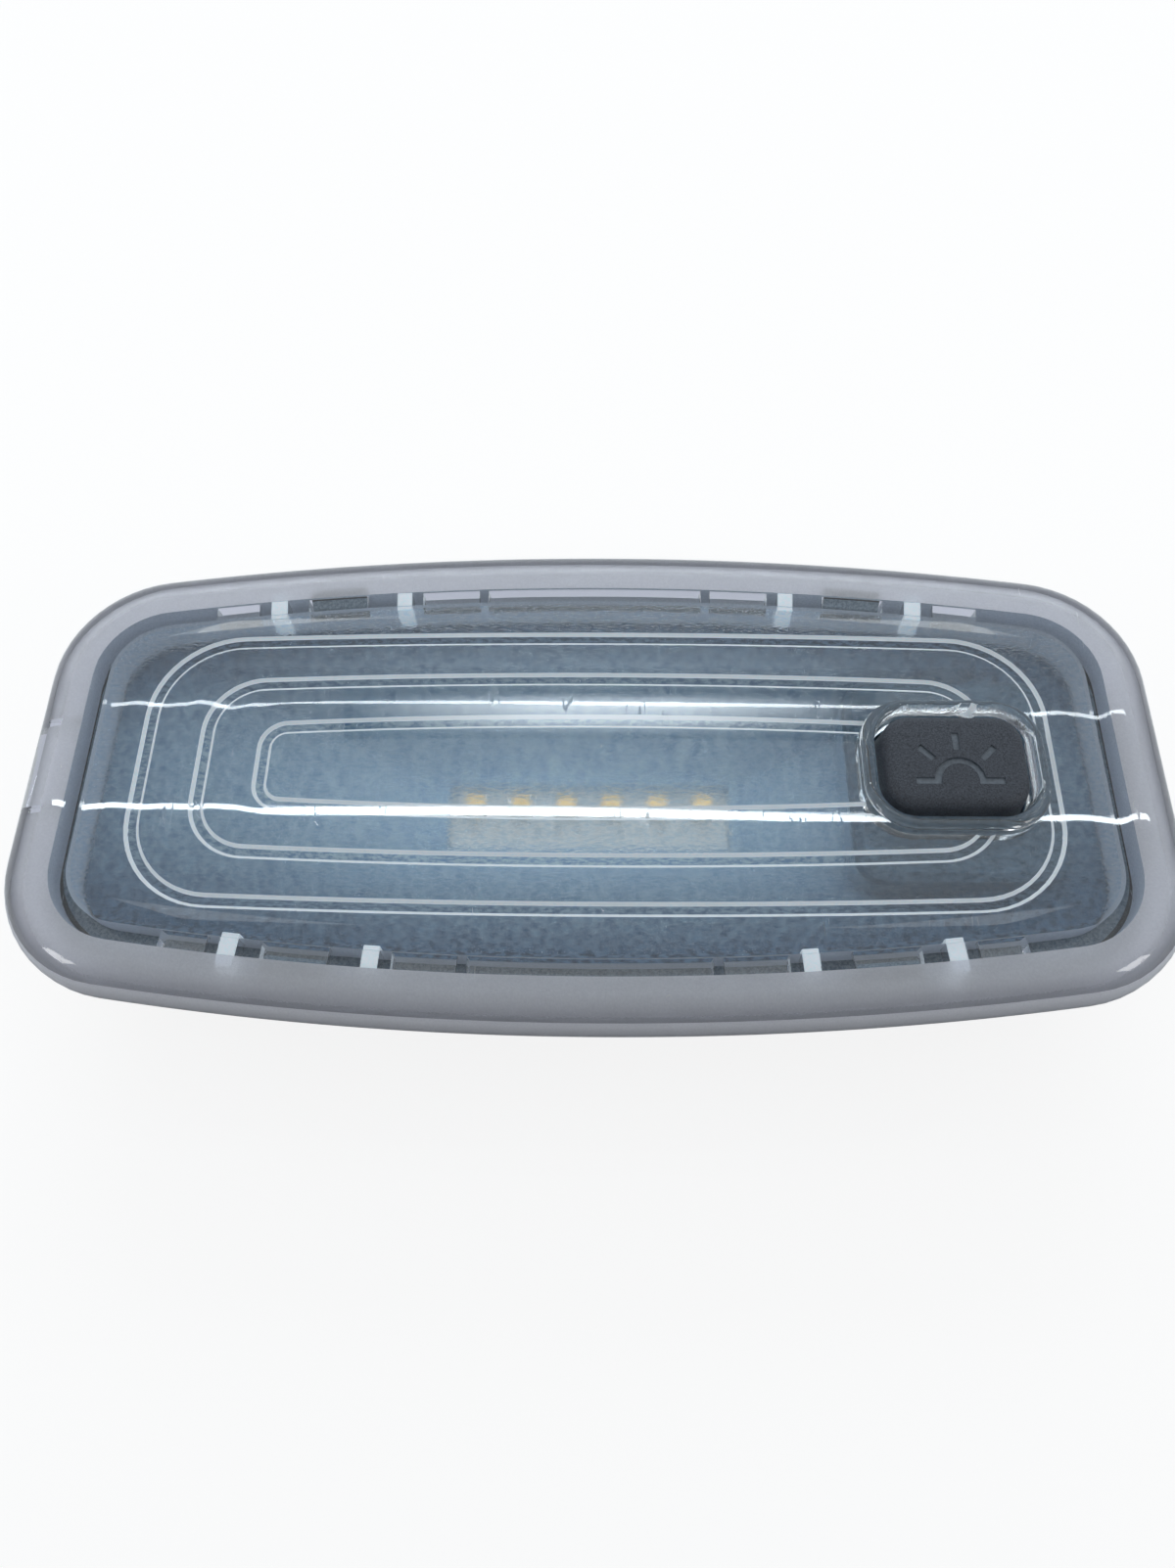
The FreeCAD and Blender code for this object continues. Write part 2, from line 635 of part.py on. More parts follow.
def chip_block(x, y, length, width, height):
    """Small flat component hung under the board."""
    low = BOARD_BOTTOM - height
    return box(x - length / 2, x + length / 2, y - width / 2, y + width / 2, low, BOARD_BOTTOM)


nodes = {
    "lens": lens(),
    "housing": housing(),
    "light_tray": light_tray(),
    "push_button": push_button(),
    "circuit_board": circuit_board(),
    "switch_body": switch_body(),
    "switch_plunger": switch_plunger(),
    "connector_header": connector_header(),
    "retaining_spring": retaining_spring(),
    "driver_chip": driver_chip(),
    "diode": chip_block(DIODE_X, DIODE_Y, DIODE_LENGTH, DIODE_WIDTH, DIODE_HEIGHT),
}
for number in range(LED_COUNT):
    package, fill = led(number)
    nodes[f"led_{number + 1}"] = package
    nodes[f"led_phosphor_{number + 1}"] = fill
for number in range(PIN_COUNT):
    nodes[f"connector_pin_{number + 1}"] = connector_pin(number)
for number, place in enumerate(CAPACITOR_X, start=1):
    nodes[f"capacitor_{number}"] = capacitor(place)
for number, place in enumerate(RESISTOR_X, start=1):
    nodes[f"resistor_{number}"] = chip_block(place, 0.0, RESISTOR_WIDTH, RESISTOR_LENGTH, RESISTOR_HEIGHT)

os.makedirs("parts", exist_ok=True)
for name, shape in nodes.items():
    shape.exportStep(f"parts/{name}.step")
    print(name, shape.isValid(), len(shape.Solids), round(shape.Volume, 2))
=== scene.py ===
# %% [markdown]
# # A trunk light, dressed over its CAD frame
# The lamp is a clear moulded lens over a dark tray, with a row of lamps behind it and a push button at
# one end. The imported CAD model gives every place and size. This lesson remakes the pieces that need
# smooth optics, gives the others their finish, and lights the whole as on a studio table.

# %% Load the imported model
import math

import bmesh
import bpy
import numpy as np
from mathutils import Matrix, Vector


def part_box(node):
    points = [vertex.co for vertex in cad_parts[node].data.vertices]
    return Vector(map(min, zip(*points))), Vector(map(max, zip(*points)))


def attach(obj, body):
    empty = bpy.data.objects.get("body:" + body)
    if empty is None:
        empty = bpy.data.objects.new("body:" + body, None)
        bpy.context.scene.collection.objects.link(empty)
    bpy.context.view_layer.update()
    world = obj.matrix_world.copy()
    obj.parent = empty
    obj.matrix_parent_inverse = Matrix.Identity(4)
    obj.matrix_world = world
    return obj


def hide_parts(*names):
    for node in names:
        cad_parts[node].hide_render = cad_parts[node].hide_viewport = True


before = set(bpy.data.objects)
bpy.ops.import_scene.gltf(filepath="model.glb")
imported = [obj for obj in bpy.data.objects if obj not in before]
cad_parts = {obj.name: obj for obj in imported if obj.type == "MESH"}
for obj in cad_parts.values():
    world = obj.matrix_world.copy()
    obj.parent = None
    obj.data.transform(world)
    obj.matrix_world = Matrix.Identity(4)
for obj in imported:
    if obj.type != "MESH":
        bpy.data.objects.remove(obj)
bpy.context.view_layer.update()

MM = 0.001

# %% [markdown]
# ## Sizes
# The outline comes from the lens's own box in the frame. The other sizes are those of the moulding:
# wall, rim roll, skirt and ribs. The script works in metres, so each is written in millimetres times
# MM.

# %% Sizes of the lens
lens_low, lens_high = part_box("lens")
HALF_LENGTH = (lens_high[0] - lens_low[0]) / 2
HALF_WIDTH = (lens_high[1] - lens_low[1]) / 2
SIDE_BOW = 7.0 * MM
SIDE_RADIUS = (HALF_LENGTH ** 2 + SIDE_BOW ** 2) / (2 * SIDE_BOW)
CORNER = 17.8 * MM
SEAT = 22.0 * MM
LENS_TOP = 28.0 * MM
CROWN_ALONG = 0.12 * MM
CROWN_ACROSS = 0.08 * MM
WALL = 2.3 * MM
EDGE_ROUND = 4.6 * MM
SKIRT_INSET = 6.8 * MM
SKIRT_WALL = 2.4 * MM
SKIRT_LOW = lens_low[2]
WINDOW_LOW = SEAT + 1.0 * MM
WINDOW_HIGH = WINDOW_LOW + 1.9 * MM
print("lens", round(2 * HALF_LENGTH / MM, 2), "x", round(2 * HALF_WIDTH / MM, 2), "mm")

# %% [markdown]
# ## Shader maths as Python
# Node trees are easier to read as formulas. One small class wraps an output socket; its operators add
# Math nodes, and its node method adds any other node, with the settings first and then the sockets.

# %% Socket wrapper
class Wire:
    """One output socket of a material's node tree, for use in Python expressions."""

    def __init__(self, tree, socket=None):
        self.tree = tree
        self.socket = socket

    def node(self, kind, inputs=None, output=0, stops=None, **settings):
        made = self.tree.nodes.new(kind)
        for name, value in settings.items():
            setattr(made, name, value)
        for index, (place, colour) in enumerate(stops or ()):
            ramp = made.color_ramp.elements
            stop = ramp[index] if index < len(ramp) else ramp.new(place)
            stop.position = place
            stop.color = (*colour, 1.0)
        for key, value in (inputs or {}).items():
            if isinstance(value, Wire):
                self.tree.links.new(value.socket, made.inputs[key])
            else:
                made.inputs[key].default_value = value
        return Wire(self.tree, made.outputs[output])

    def maths(self, operation, *values):
        return self.node("ShaderNodeMath", dict(enumerate(values)), operation=operation)

    def size(self):
        return self.maths("ABSOLUTE", self)

    def __add__(self, other):
        return self.maths("ADD", self, other)

    __radd__ = __add__

    def __sub__(self, other):
        return self.maths("SUBTRACT", self, other)

    def __rsub__(self, other):
        return self.maths("SUBTRACT", other, self)

    def __mul__(self, other):
        return self.maths("MULTIPLY", self, other)

    __rmul__ = __mul__

    def __gt__(self, other):
        return self.maths("GREATER_THAN", self, other)

    def __lt__(self, other):
        return self.maths("LESS_THAN", self, other)


print("socket wrapper:", Wire.__name__)

# %% [markdown]
# ## One class for every finish
# Each surface is one shader with a pattern of its own: grain, speckle, rub marks or rolling lines. The
# patterns use the object's own coordinates, so they stay on the piece when it moves. Noise is given by
# the distance from one blob to the next, as one would measure the grain of a mould.

# %% Finish
SCRATCH_STRETCH = (1, 0.12, 1)
SCRATCH_WIDTH = 0.004
SCRATCH_PATCH = 9 * MM
SCRATCH_LIMIT = 0.56


class Finish:
    """A material with one Principled shader, and the node helpers that its pattern needs."""

    def __init__(self, name, **constants):
        self.material = bpy.data.materials.new(name)
        self.material.use_nodes = True
        self.tree = self.material.node_tree
        self.shader = self.tree.nodes["Principled BSDF"]
        for socket, value in constants.items():
            self.shader.inputs[socket.replace("_", " ")].default_value = value
        self.start = Wire(self.tree)
        self.place = self.start.node("ShaderNodeTexCoord", output="Object")

    def axis(self, name):
        return self.start.node("ShaderNodeSeparateXYZ", {0: self.place}, output=name)

    def noise(self, scale, detail=2.0, roughness=0.5, stretch=(1, 1, 1)):
        """Noise from 0 to 1, with about scale metres from one blob to the next."""
        spread = self.start.node("ShaderNodeMapping", {"Vector": self.place, "Scale": stretch})
        sizes = {"Vector": spread, "Scale": 1 / scale, "Detail": detail, "Roughness": roughness}
        return self.start.node("ShaderNodeTexNoise", sizes)

    def scratches(self, lean_deg, spacing):
        """Thin broken lines in one direction of the plan, 1 on a line and 0 elsewhere."""
        turn = (0, 0, math.radians(lean_deg))
        spread = {"Vector": self.place, "Rotation": turn, "Scale": SCRATCH_STRETCH}
        turned = self.start.node("ShaderNodeMapping", spread)
        sizes = {"Vector": turned, "Scale": 1 / spacing, "Detail": 2.0}
        cuts = self.start.node("ShaderNodeTexNoise", sizes)
        line = self.span((cuts - 0.5).size(), 0.0, SCRATCH_WIDTH, 1.0, 0.0)
        return line * (self.noise(SCRATCH_PATCH) > SCRATCH_LIMIT)

    def ramp(self, factor, *stops):
        return self.start.node("ShaderNodeValToRGB", {0: factor}, stops=stops)

    def blend(self, factor, first, second):
        """Mix of two colours."""
        colours = {0: factor, 6: first, 7: second}
        return self.start.node("ShaderNodeMix", colours, output=2, data_type="RGBA")

    def span(self, value, low, high, to_low=0.0, to_high=1.0):
        """The value, brought from one range to another and kept within it."""
        limits = {0: value, 1: low, 2: high, 3: to_low, 4: to_high}
        return self.start.node("ShaderNodeMapRange", limits)

    def feed(self, socket, wire):
        self.tree.links.new(wire.socket, self.shader.inputs[socket])

    def bump(self, height, distance, strength=1.0):
        sizes = {"Height": height, "Distance": distance, "Strength": strength}
        self.feed("Normal", self.start.node("ShaderNodeBump", sizes))


def rgb(red, green, blue):
    return (red, green, blue, 1.0)


print("shader helpers ready")

# %% [markdown]
# ## Lens finishes
# The lens is one clear moulding, but its faces differ, because each part of the mould has its own
# texture. The front, the crests of the ribs and the collar are polished. The outer half of the rim's
# roll, its foot and its back are frosted, so that the rim reads as pale grey; painted shade darkens the
# frosted colour towards the foot of the rim. The fields between the ribs have a fine leathery grain that
# blurs what lies behind. The slopes of the ribs and the posts are milky, and the skirt's walls are a
# darker satin; both satins carry a faint painted glow. Each is its own material on the same closed mesh,
# so light that enters through one leaves through another.

# %% Lens materials
PLASTIC_IOR = 1.57
PAINTED_SATIN_GLOW = 0.16
RIM_SHADE_DEPTH = 3.4 * MM


def clear_finish(name, **constants):
    return Finish(name, Transmission_Weight=1.0, IOR=PLASTIC_IOR, **constants)


def polished_lens():
    """Glossy clear plastic with faint rub marks and a few hairline scratches."""
    finish = clear_finish("lens_polished", Base_Color=rgb(0.99, 0.995, 1.0))
    rubs = finish.noise(0.9 * MM, detail=4.0, roughness=0.7, stretch=(1, 8, 1))
    scratches = finish.scratches(35, 5 * MM) + finish.scratches(-50, 7 * MM)
    finish.feed("Roughness", finish.span(rubs, 0.62, 0.8, 0.015, 0.05) + scratches * 0.2)
    finish.bump(scratches, -0.003 * MM)
    return finish.material


def frosted_lens():
    """Clear plastic with an even spark-eroded back; painted shade darkens it towards the foot of the rim.
    """
    finish = Finish("lens_frosted", Transmission_Weight=0.45, IOR=PLASTIC_IOR)
    speckle = finish.noise(0.3 * MM, detail=3.0, roughness=0.65)
    top = finish.ramp(speckle, (0.3, (0.82, 0.82, 0.88)), (0.7, (0.94, 0.94, 0.99)))
    foot = finish.ramp(speckle, (0.3, (0.26, 0.26, 0.29)), (0.7, (0.34, 0.34, 0.37)))
    # Painted shade: the frosted colour darkens towards the foot of the rim.
    height = finish.span(finish.axis("Z"), SEAT, SEAT + RIM_SHADE_DEPTH)
    finish.feed("Base Color", finish.blend(height, foot, top))
    finish.feed("Roughness", finish.span(speckle, 0.3, 0.7, 0.6, 0.8))
    finish.bump(speckle, 0.03 * MM, 0.6)
    return finish.material


def grained_lens():
    """Clear plastic with a fine leathery grain on its back."""
    finish = clear_finish("lens_grained")
    grain = finish.noise(0.5 * MM, detail=3.0, roughness=0.6, stretch=(0.6, 1.2, 1))
    finish.feed("Base Color", finish.ramp(grain, (0.36, (0.60, 0.78, 0.92)), (0.6, (0.92, 0.97, 1.0))))
    finish.feed("Roughness", finish.span(grain, 0.3, 0.7, 0.04, 0.1))
    finish.bump(grain, 0.08 * MM, 0.8)
    return finish.material


def satin_lens(name, dark, light, glow):
    """Milky satin faces with a faint painted glow in their emission."""
    finish = Finish(name, Transmission_Weight=0.1, IOR=PLASTIC_IOR, Emission_Strength=glow)
    speckle = finish.noise(0.4 * MM)
    tint = finish.ramp(speckle, (0.3, dark), (0.7, light))
    finish.feed("Base Color", tint)
    # Painted glow: the tint is also fed to the emission, so the faces shine as if lit.
    finish.feed("Emission Color", tint)
    finish.feed("Roughness", finish.span(speckle, 0.3, 0.7, 0.4, 0.55))
    return finish.material


rib_satin = satin_lens("lens_satin", (0.80, 0.90, 0.97), (0.93, 0.97, 1.0), PAINTED_SATIN_GLOW)
skirt_satin = satin_lens("lens_skirt", (0.56, 0.64, 0.74), (0.74, 0.80, 0.90), PAINTED_SATIN_GLOW / 4)
LENS_SLOTS = [polished_lens(), frosted_lens(), grained_lens(), rib_satin, skirt_satin]
POLISHED, FROSTED, GRAINED, SATIN, SKIRT = range(len(LENS_SLOTS))
print("lens finishes:", [material.name for material in LENS_SLOTS])

# %% [markdown]
# ## Loops
# The outline of the lens, its ribs, the collar and the button are all one kind of loop: two bowed
# sides, two straight ends and four round corners. Every loop has the same number of points, so that any
# two of them can be joined by a clean strip of quads.

# %% Loops
END_STEPS = 14
CORNER_STEPS = 12
SIDE_STEPS = 56


def barrel(half_length, half_width, side_radius, corner):
    """Points of an outline with bowed sides and round corners, counter-clockwise from the right end."""
    side_centre = half_width - side_radius
    x = half_length - corner
    y = side_centre + math.sqrt((side_radius - corner) ** 2 - x ** 2)
    lean = math.atan2(y - side_centre, x)
    half = []
    for step in range(END_STEPS):
        half.append((half_length, y * (2 * step / END_STEPS - 1)))
    for step in range(CORNER_STEPS):
        angle = lean * step / CORNER_STEPS
        half.append((x + corner * math.cos(angle), y + corner * math.sin(angle)))
    for step in range(SIDE_STEPS):
        angle = lean + (math.pi - 2 * lean) * step / SIDE_STEPS
        half.append((side_radius * math.cos(angle), side_centre + side_radius * math.sin(angle)))
    for step in range(CORNER_STEPS):
        angle = math.pi - lean + lean * step / CORNER_STEPS
        half.append((-x + corner * math.cos(angle), y + corner * math.sin(angle)))
    half = np.array(half)
    return np.vstack([half, -half])


def rim(inset):
    """The outline of the lens, drawn in evenly."""
    return barrel(HALF_LENGTH - inset, HALF_WIDTH - inset, SIDE_RADIUS - inset, CORNER - inset)


def dome(points):
    """Height of the crowned front over points of the plan."""
    along = CROWN_ALONG * (points[:, 0] / HALF_LENGTH) ** 2
    across = CROWN_ACROSS * (points[:, 1] / HALF_WIDTH) ** 2
    return LENS_TOP - along - across


def on_dome(points, depth):
    """Loop that lies a given depth under the front."""
    return np.column_stack([points, dome(points) - depth])


def at_height(points, height):
    return np.column_stack([points, np.full(len(points), height)])


def between(first, second, steps):
    """Loops that lead evenly from one loop to the next, without the two ends."""
    shares = [step / (steps + 1) for step in range(1, steps + 1)]
    return [first * (1 - share) + second * share for share in shares]


print("points in a loop:", len(rim(0.0)))

# %% [markdown]
# ## Skins and boxes
# A stack of loops becomes a closed skin of quads, which keeps the reflections on the front smooth. A
# drawn surface or a subdivided cage would do too, but here each row keeps its exact place and its own
# finish. Small straight features are plain boxes with softened edges.

# %% Skins and boxes
def new_object(name, mesh, materials):
    made = bpy.data.objects.new(name, mesh)
    for material in materials:
        made.data.materials.append(material)
    bpy.context.scene.collection.objects.link(made)
    return made


def loft(name, rows, materials, ring=False):
    """Skin over (loop, material index) rows; a ring closes on itself, other skins get two end caps."""
    count = len(rows[0][0])
    points = np.vstack([loop for loop, finish in rows])
    faces = []
    finishes = []
    last = len(rows) if ring else len(rows) - 1
    for row in range(last):
        below = row * count
        above = ((row + 1) % len(rows)) * count
        for i in range(count):
            j = (i + 1) % count
            faces.append((below + i, below + j, above + j, above + i))
            finishes.append(rows[row][1])
    if not ring:
        faces.append(tuple(range(count)))
        faces.append(tuple(range(last * count, last * count + count)))
        finishes += [rows[0][1], rows[-1][1]]
    mesh = bpy.data.meshes.new(name)
    mesh.from_pydata(points.tolist(), [], faces)
    mesh.polygons.foreach_set("material_index", finishes)
    outward(mesh)
    return new_object(name, mesh, materials)


def outward(mesh):
    """Turns every face of a closed mesh outwards."""
    work = bmesh.new()
    work.from_mesh(mesh)
    bmesh.ops.recalc_face_normals(work, faces=work.faces)
    work.to_mesh(mesh)
    work.free()


def bevelled_boxes(name, boxes, edge, materials, finish):
    """One mesh of separate boxes, each a (centre, size, turn about Z) with softened edges."""
    work = bmesh.new()
    for centre, size, turn in boxes:
        turned = Matrix.Rotation(turn, 4, "Z")
        place = Matrix.Translation(centre) @ turned @ Matrix.Diagonal((*size, 1.0))
        corners = bmesh.ops.create_cube(work, size=1.0, matrix=place)["verts"]
        edges = list({line for corner in corners for line in corner.link_edges})
        if edge:
            bmesh.ops.bevel(work, geom=edges, offset=edge, segments=2, profile=0.5, affect="EDGES")
    for face in work.faces:
        face.material_index = finish
    mesh = bpy.data.meshes.new(name)
    work.to_mesh(mesh)
    work.free()
    return new_object(name, mesh, materials)


print("skins:", loft.__name__, bevelled_boxes.__name__)

# %% [markdown]
# ## Joining and cutting
# What the mould makes as one piece has to be one volume, or light would meet faces inside the plastic.
# Exact booleans join and cut the closed meshes. They can leave pairs of points almost in one place, so
# each is followed by a weld far finer than any detail.

# %% Joining and cutting
WELD_GAP = 0.001 * MM


def weld(mesh):
    """Joins points that a cut has left almost in one place."""
    work = bmesh.new()
    work.from_mesh(mesh)
    bmesh.ops.remove_doubles(work, verts=work.verts, dist=WELD_GAP)
    bmesh.ops.dissolve_degenerate(work, edges=work.edges, dist=WELD_GAP)
    work.to_mesh(mesh)
    work.free()


def combine(target, tool, operation):
    """Adds, cuts or keeps the tool's volume in the target, and takes the tool away."""
    step = target.modifiers.new("combine", "BOOLEAN")
    step.object = tool
    step.operation = operation
    step.solver = "EXACT"
    shape = target.evaluated_get(bpy.context.evaluated_depsgraph_get())
    result = bpy.data.meshes.new_from_object(shape)
    target.modifiers.clear()
    target.data = result
    weld(result)
    bpy.data.objects.remove(tool)


def smooth(target, angle_deg):
    """Smooth shading, broken at edges sharper than the angle."""
    target.data.shade_smooth()
    target.data.set_sharp_from_angle(angle=math.radians(angle_deg))


print("weld gap:", WELD_GAP / MM, "mm")

# %% [markdown]
# ## Ring ribs
# Three nested ribs on the back of the lens spread the light of the lamps. Their outlines are the same
# kind of loop as the rim, drawn in step by step, and their section is two soft slopes with a flat
# crest. The section is a formula, so the slopes can be made finer without drawing them again.

# %% Ring ribs
RING_COUNT = 3
RING_HALF = (64.2 * MM, 22.0 * MM)
RING_STEP = (8.4 * MM, 6.9 * MM)
RING_CORNER = 13.2 * MM
RING_CORNER_STEP = 4.5 * MM
RING_BOW = 1.4 * MM
RIB_WIDTH = 2.1 * MM
RIB_DEPTH = 0.7 * MM
RIB_SLOPE = 0.24
RIB_SHARES = (0.0, 0.06, 0.12, 0.18, 0.24, 0.4, 0.6, 0.76, 0.82, 0.88, 0.94, 1.0)


def ring(index, inset=0.0):
    """Outline of one of the nested ribs, drawn in evenly."""
    half_length = RING_HALF[0] - index * RING_STEP[0]
    half_width = RING_HALF[1] - index * RING_STEP[1]
    corner = RING_CORNER - index * RING_CORNER_STEP
    radius = (half_length ** 2 + RING_BOW ** 2) / (2 * RING_BOW)
    return barrel(half_length - inset, half_width - inset, radius - inset, corner - inset)


def rib_depth(share):
    """Section of a rib: two soft slopes with a flat crest between them."""
    rise = min(1.0, min(share, 1 - share) / RIB_SLOPE)
    return RIB_DEPTH * rise * rise * (3 - 2 * rise)


print("rib depth at its crest:", round(rib_depth(0.5) / MM, 2), "mm")

# %% [markdown]
# ## Front of the lens
# The front is a skin that starts as a thin loop in the middle, runs out over the crown and rolls round
# the rim. Thick plastic shrinks as it cools, so the front is hollowed by some thousandths of a
# millimetre over the ribs and by two hundredths over the skirt. That is too little to see as a shape,
# but it bends the reflections as on a real moulding.

# %% Front of the lens
SPINE_HALF = (40.0 * MM, 0.6 * MM)
SPINE_CORNER = 0.5 * MM
# A side radius of 20 m draws a straight side
STRAIGHT = 20.0
SKIRT_SINK = 0.02 * MM
SINK_SPREAD = 2.2 * MM
RIB_SINK = 0.006 * MM
RIB_SINK_SHARES = (1.5, 1.0, 0.5, 0.0, -0.5, -1.0)
FIELD_INSET = 12.0 * MM
FRONT_INSETS = np.arange(12.0, 5.0, -0.5) * MM
ROLL_STEPS = 10
POLISHED_ROLL = 0.6


def spine():
    """Thin loop along the middle, where the skin starts and ends."""
    return barrel(*SPINE_HALF, STRAIGHT, SPINE_CORNER)


def sink(inset):
    """Slight hollow in the front over the skirt, as a moulding shrinks there."""
    from_skirt = (inset - SKIRT_INSET - SKIRT_WALL / 2) / SINK_SPREAD
    return SKIRT_SINK * math.exp(-from_skirt ** 2)


def front_rows():
    """Front of the lens, from the middle out and round the rim's roll."""
    rows = [(on_dome(spine(), 0.0), POLISHED)]
    inner = spine()
    for index in reversed(range(RING_COUNT)):
        for loop in between(inner, ring(index, 2 * RIB_WIDTH), 3) + [ring(index, 2 * RIB_WIDTH)]:
            rows.append((on_dome(loop, 0.0), POLISHED))
        for share in RIB_SINK_SHARES:
            hollow = RIB_SINK * math.cos((share - 0.5) / 1.5 * math.pi / 2)
            rows.append((on_dome(ring(index, share * RIB_WIDTH), hollow), POLISHED))
        inner = ring(index, -RIB_WIDTH)
    for loop in between(inner, rim(FIELD_INSET), 2):
        rows.append((on_dome(loop, 0.0), POLISHED))
    for inset in FRONT_INSETS:
        rows.append((on_dome(rim(inset), sink(inset)), POLISHED))
    for step in range(ROLL_STEPS + 1):
        turn = math.pi / 2 * (1 - step / ROLL_STEPS)
        inset = EDGE_ROUND * (1 - math.cos(turn))
        finish = POLISHED if step < ROLL_STEPS * POLISHED_ROLL else FROSTED
        rows.append((on_dome(rim(inset), EDGE_ROUND * (1 - math.sin(turn))), finish))
    return rows


print("rows on the front:", len(front_rows()))

# %% [markdown]
# ## Back of the lens
# From the rim the skin turns up inside and comes back along the underside, where it steps over the
# three ribs. Front and back are one closed skin, so the wall between them is solid plastic. Each row of
# quads carries the finish of its stretch.

# %% Back of the lens
EDGE_SOFT = 0.2 * MM
FOOT_STEPS = ((0.0, 1.0), (0.3, 0.3), (1.0, 0.0))
FIELD_MARGIN = 0.6 * MM
BACK_INSETS = (5.5 * MM, 6.5 * MM)


def foot_rows():
    """Bottom edge of the rim, softened at both corners."""
    rows = []
    for across, up in FOOT_STEPS:
        rows.append((at_height(rim(EDGE_SOFT * across), SEAT + EDGE_SOFT * up), FROSTED))
    for across, up in reversed(FOOT_STEPS):
        rows.append((at_height(rim(WALL - EDGE_SOFT * across), SEAT + EDGE_SOFT * up), FROSTED))
    return rows


def back_rows():
    """Back of the lens, from inside the rim to the middle, over the three ribs."""
    inner_round = EDGE_ROUND - WALL
    rows = []
    for step in range(ROLL_STEPS + 1):
        turn = math.pi / 2 * step / ROLL_STEPS
        inset = WALL + inner_round * (1 - math.cos(turn))
        rows.append((on_dome(rim(inset), WALL + inner_round * (1 - math.sin(turn))), FROSTED))
    for inset in BACK_INSETS:
        rows.append((on_dome(rim(inset), WALL), FROSTED))
    rows.append((on_dome(rim(SKIRT_INSET + SKIRT_WALL / 2), WALL), POLISHED))
    rows.append((on_dome(rim(SKIRT_INSET + SKIRT_WALL + FIELD_MARGIN), WALL), GRAINED))
    outer = rim(FIELD_INSET)
    rows.append((on_dome(outer, WALL), GRAINED))
    for index in range(RING_COUNT):
        for loop in between(outer, ring(index), 2):
            rows.append((on_dome(loop, WALL), GRAINED))
        for share in RIB_SHARES:
            on_crest = RIB_SLOPE <= share < 1 - RIB_SLOPE
            finish = POLISHED if on_crest else SATIN if share < 1 else GRAINED
            rows.append((on_dome(ring(index, share * RIB_WIDTH), WALL + rib_depth(share)), finish))
        outer = ring(index, RIB_WIDTH)
    for loop in between(outer, spine(), 3) + [spine()]:
        rows.append((on_dome(loop, WALL), GRAINED))
    return rows


lens = loft("clear_lens", front_rows() + foot_rows() + back_rows(), LENS_SLOTS)
print("lens shell faces:", len(lens.data.polygons))

# %% [markdown]
# ## Skirt, posts and gussets
# A skirt stands on the back of the lens and clips into the housing. It is a ring of its own, joined to
# the shell by a boolean so that the clear plastic is one volume with no hidden faces inside. Posts and
# gussets are boxes set on the skirt's bowed sides. A hairline is cut round each before it is added, so
# that its milky faces end in a clean line.

# %% Skirt and what stands on it
POST_X = 28.6 * MM
POST_WIDTH = 2.2 * MM
STIFFENER_DEPTH = 0.7 * MM
GUSSET_X = 47.4 * MM
GUSSET_WIDTH = 2.4 * MM
GUSSET_REACH = 1.4 * MM
STIFFENER_LOW = 20.9 * MM
STIFFENER_SOFT = 0.15 * MM
UNDER_GAP = 0.2 * MM
POST_PROUD = 0.05 * MM
SEAM = 0.1 * MM
INTO_WALL = WALL / 2


def on_sides(x, outward_shift):
    """Places at x on both long sides of the skirt's outer face: (point, turn about Z) for each."""
    radius = SIDE_RADIUS - SKIRT_INSET
    turn = math.asin(x / radius)
    middle = HALF_WIDTH - SKIRT_INSET - radius
    reach = radius + outward_shift
    point = Vector((reach * math.sin(turn), middle + reach * math.cos(turn), 0))
    return [(point, -turn), (Vector((-point.x, -point.y, 0)), -turn)]


def side_boxes(places, length, inner, outer, low, high):
    """Boxes on both sides of the skirt, from inner to outer across its face and low to high in height."""
    boxes = []
    for x in places:
        for point, turn in on_sides(x, (inner + outer) / 2):
            centre = point + Vector((0, 0, (low + high) / 2))
            boxes.append((centre, (length, outer - inner, high - low), turn))
    return boxes


def skirt_rows():
    """Section of the skirt, sunk halfway into the wall above it."""
    outer = rim(SKIRT_INSET)
    inner = rim(SKIRT_INSET + SKIRT_WALL)
    rows = [(at_height(outer, SKIRT_LOW), SKIRT), (on_dome(outer, INTO_WALL), POLISHED)]
    rows += [(on_dome(inner, INTO_WALL), SKIRT), (at_height(inner, SKIRT_LOW), POLISHED)]
    return rows


def stiffeners(margin):
    """Boxes of the gussets and posts, grown by a margin at the sides and below."""
    inner = -SKIRT_WALL - STIFFENER_DEPTH
    low = STIFFENER_LOW - margin
    high = LENS_TOP - WALL - UNDER_GAP
    boxes = side_boxes((-GUSSET_X, GUSSET_X), GUSSET_WIDTH + margin, inner, GUSSET_REACH, low, high)
    boxes += side_boxes((-POST_X, POST_X), POST_WIDTH + margin, inner, POST_PROUD, low, high)
    return boxes


skirt = loft("skirt", skirt_rows(), LENS_SLOTS, ring=True)
combine(skirt, bevelled_boxes("seams", stiffeners(SEAM), 0.0, LENS_SLOTS, POLISHED), "DIFFERENCE")
combine(skirt, bevelled_boxes("posts", stiffeners(0.0), STIFFENER_SOFT, LENS_SLOTS, SATIN), "UNION")
combine(lens, skirt, "UNION")
print("lens with skirt:", len(lens.data.polygons))

# %% [markdown]
# ## Collar
# The collar is the thick clear bead round the button. The mould forms it with the lens, so a hole is
# cut through the closed mesh and the bead is joined into it.

# %% Collar
BUTTON_X = 49.8 * MM
BUTTON_HALF = (10.2 * MM, 7.5 * MM)
BUTTON_CORNER = 4.4 * MM
BUTTON_GAP = 0.4 * MM
COLLAR_WALL = 2.1 * MM
COLLAR_PROUD = 0.8 * MM
COLLAR_LOW = LENS_TOP - WALL - 1.9 * MM


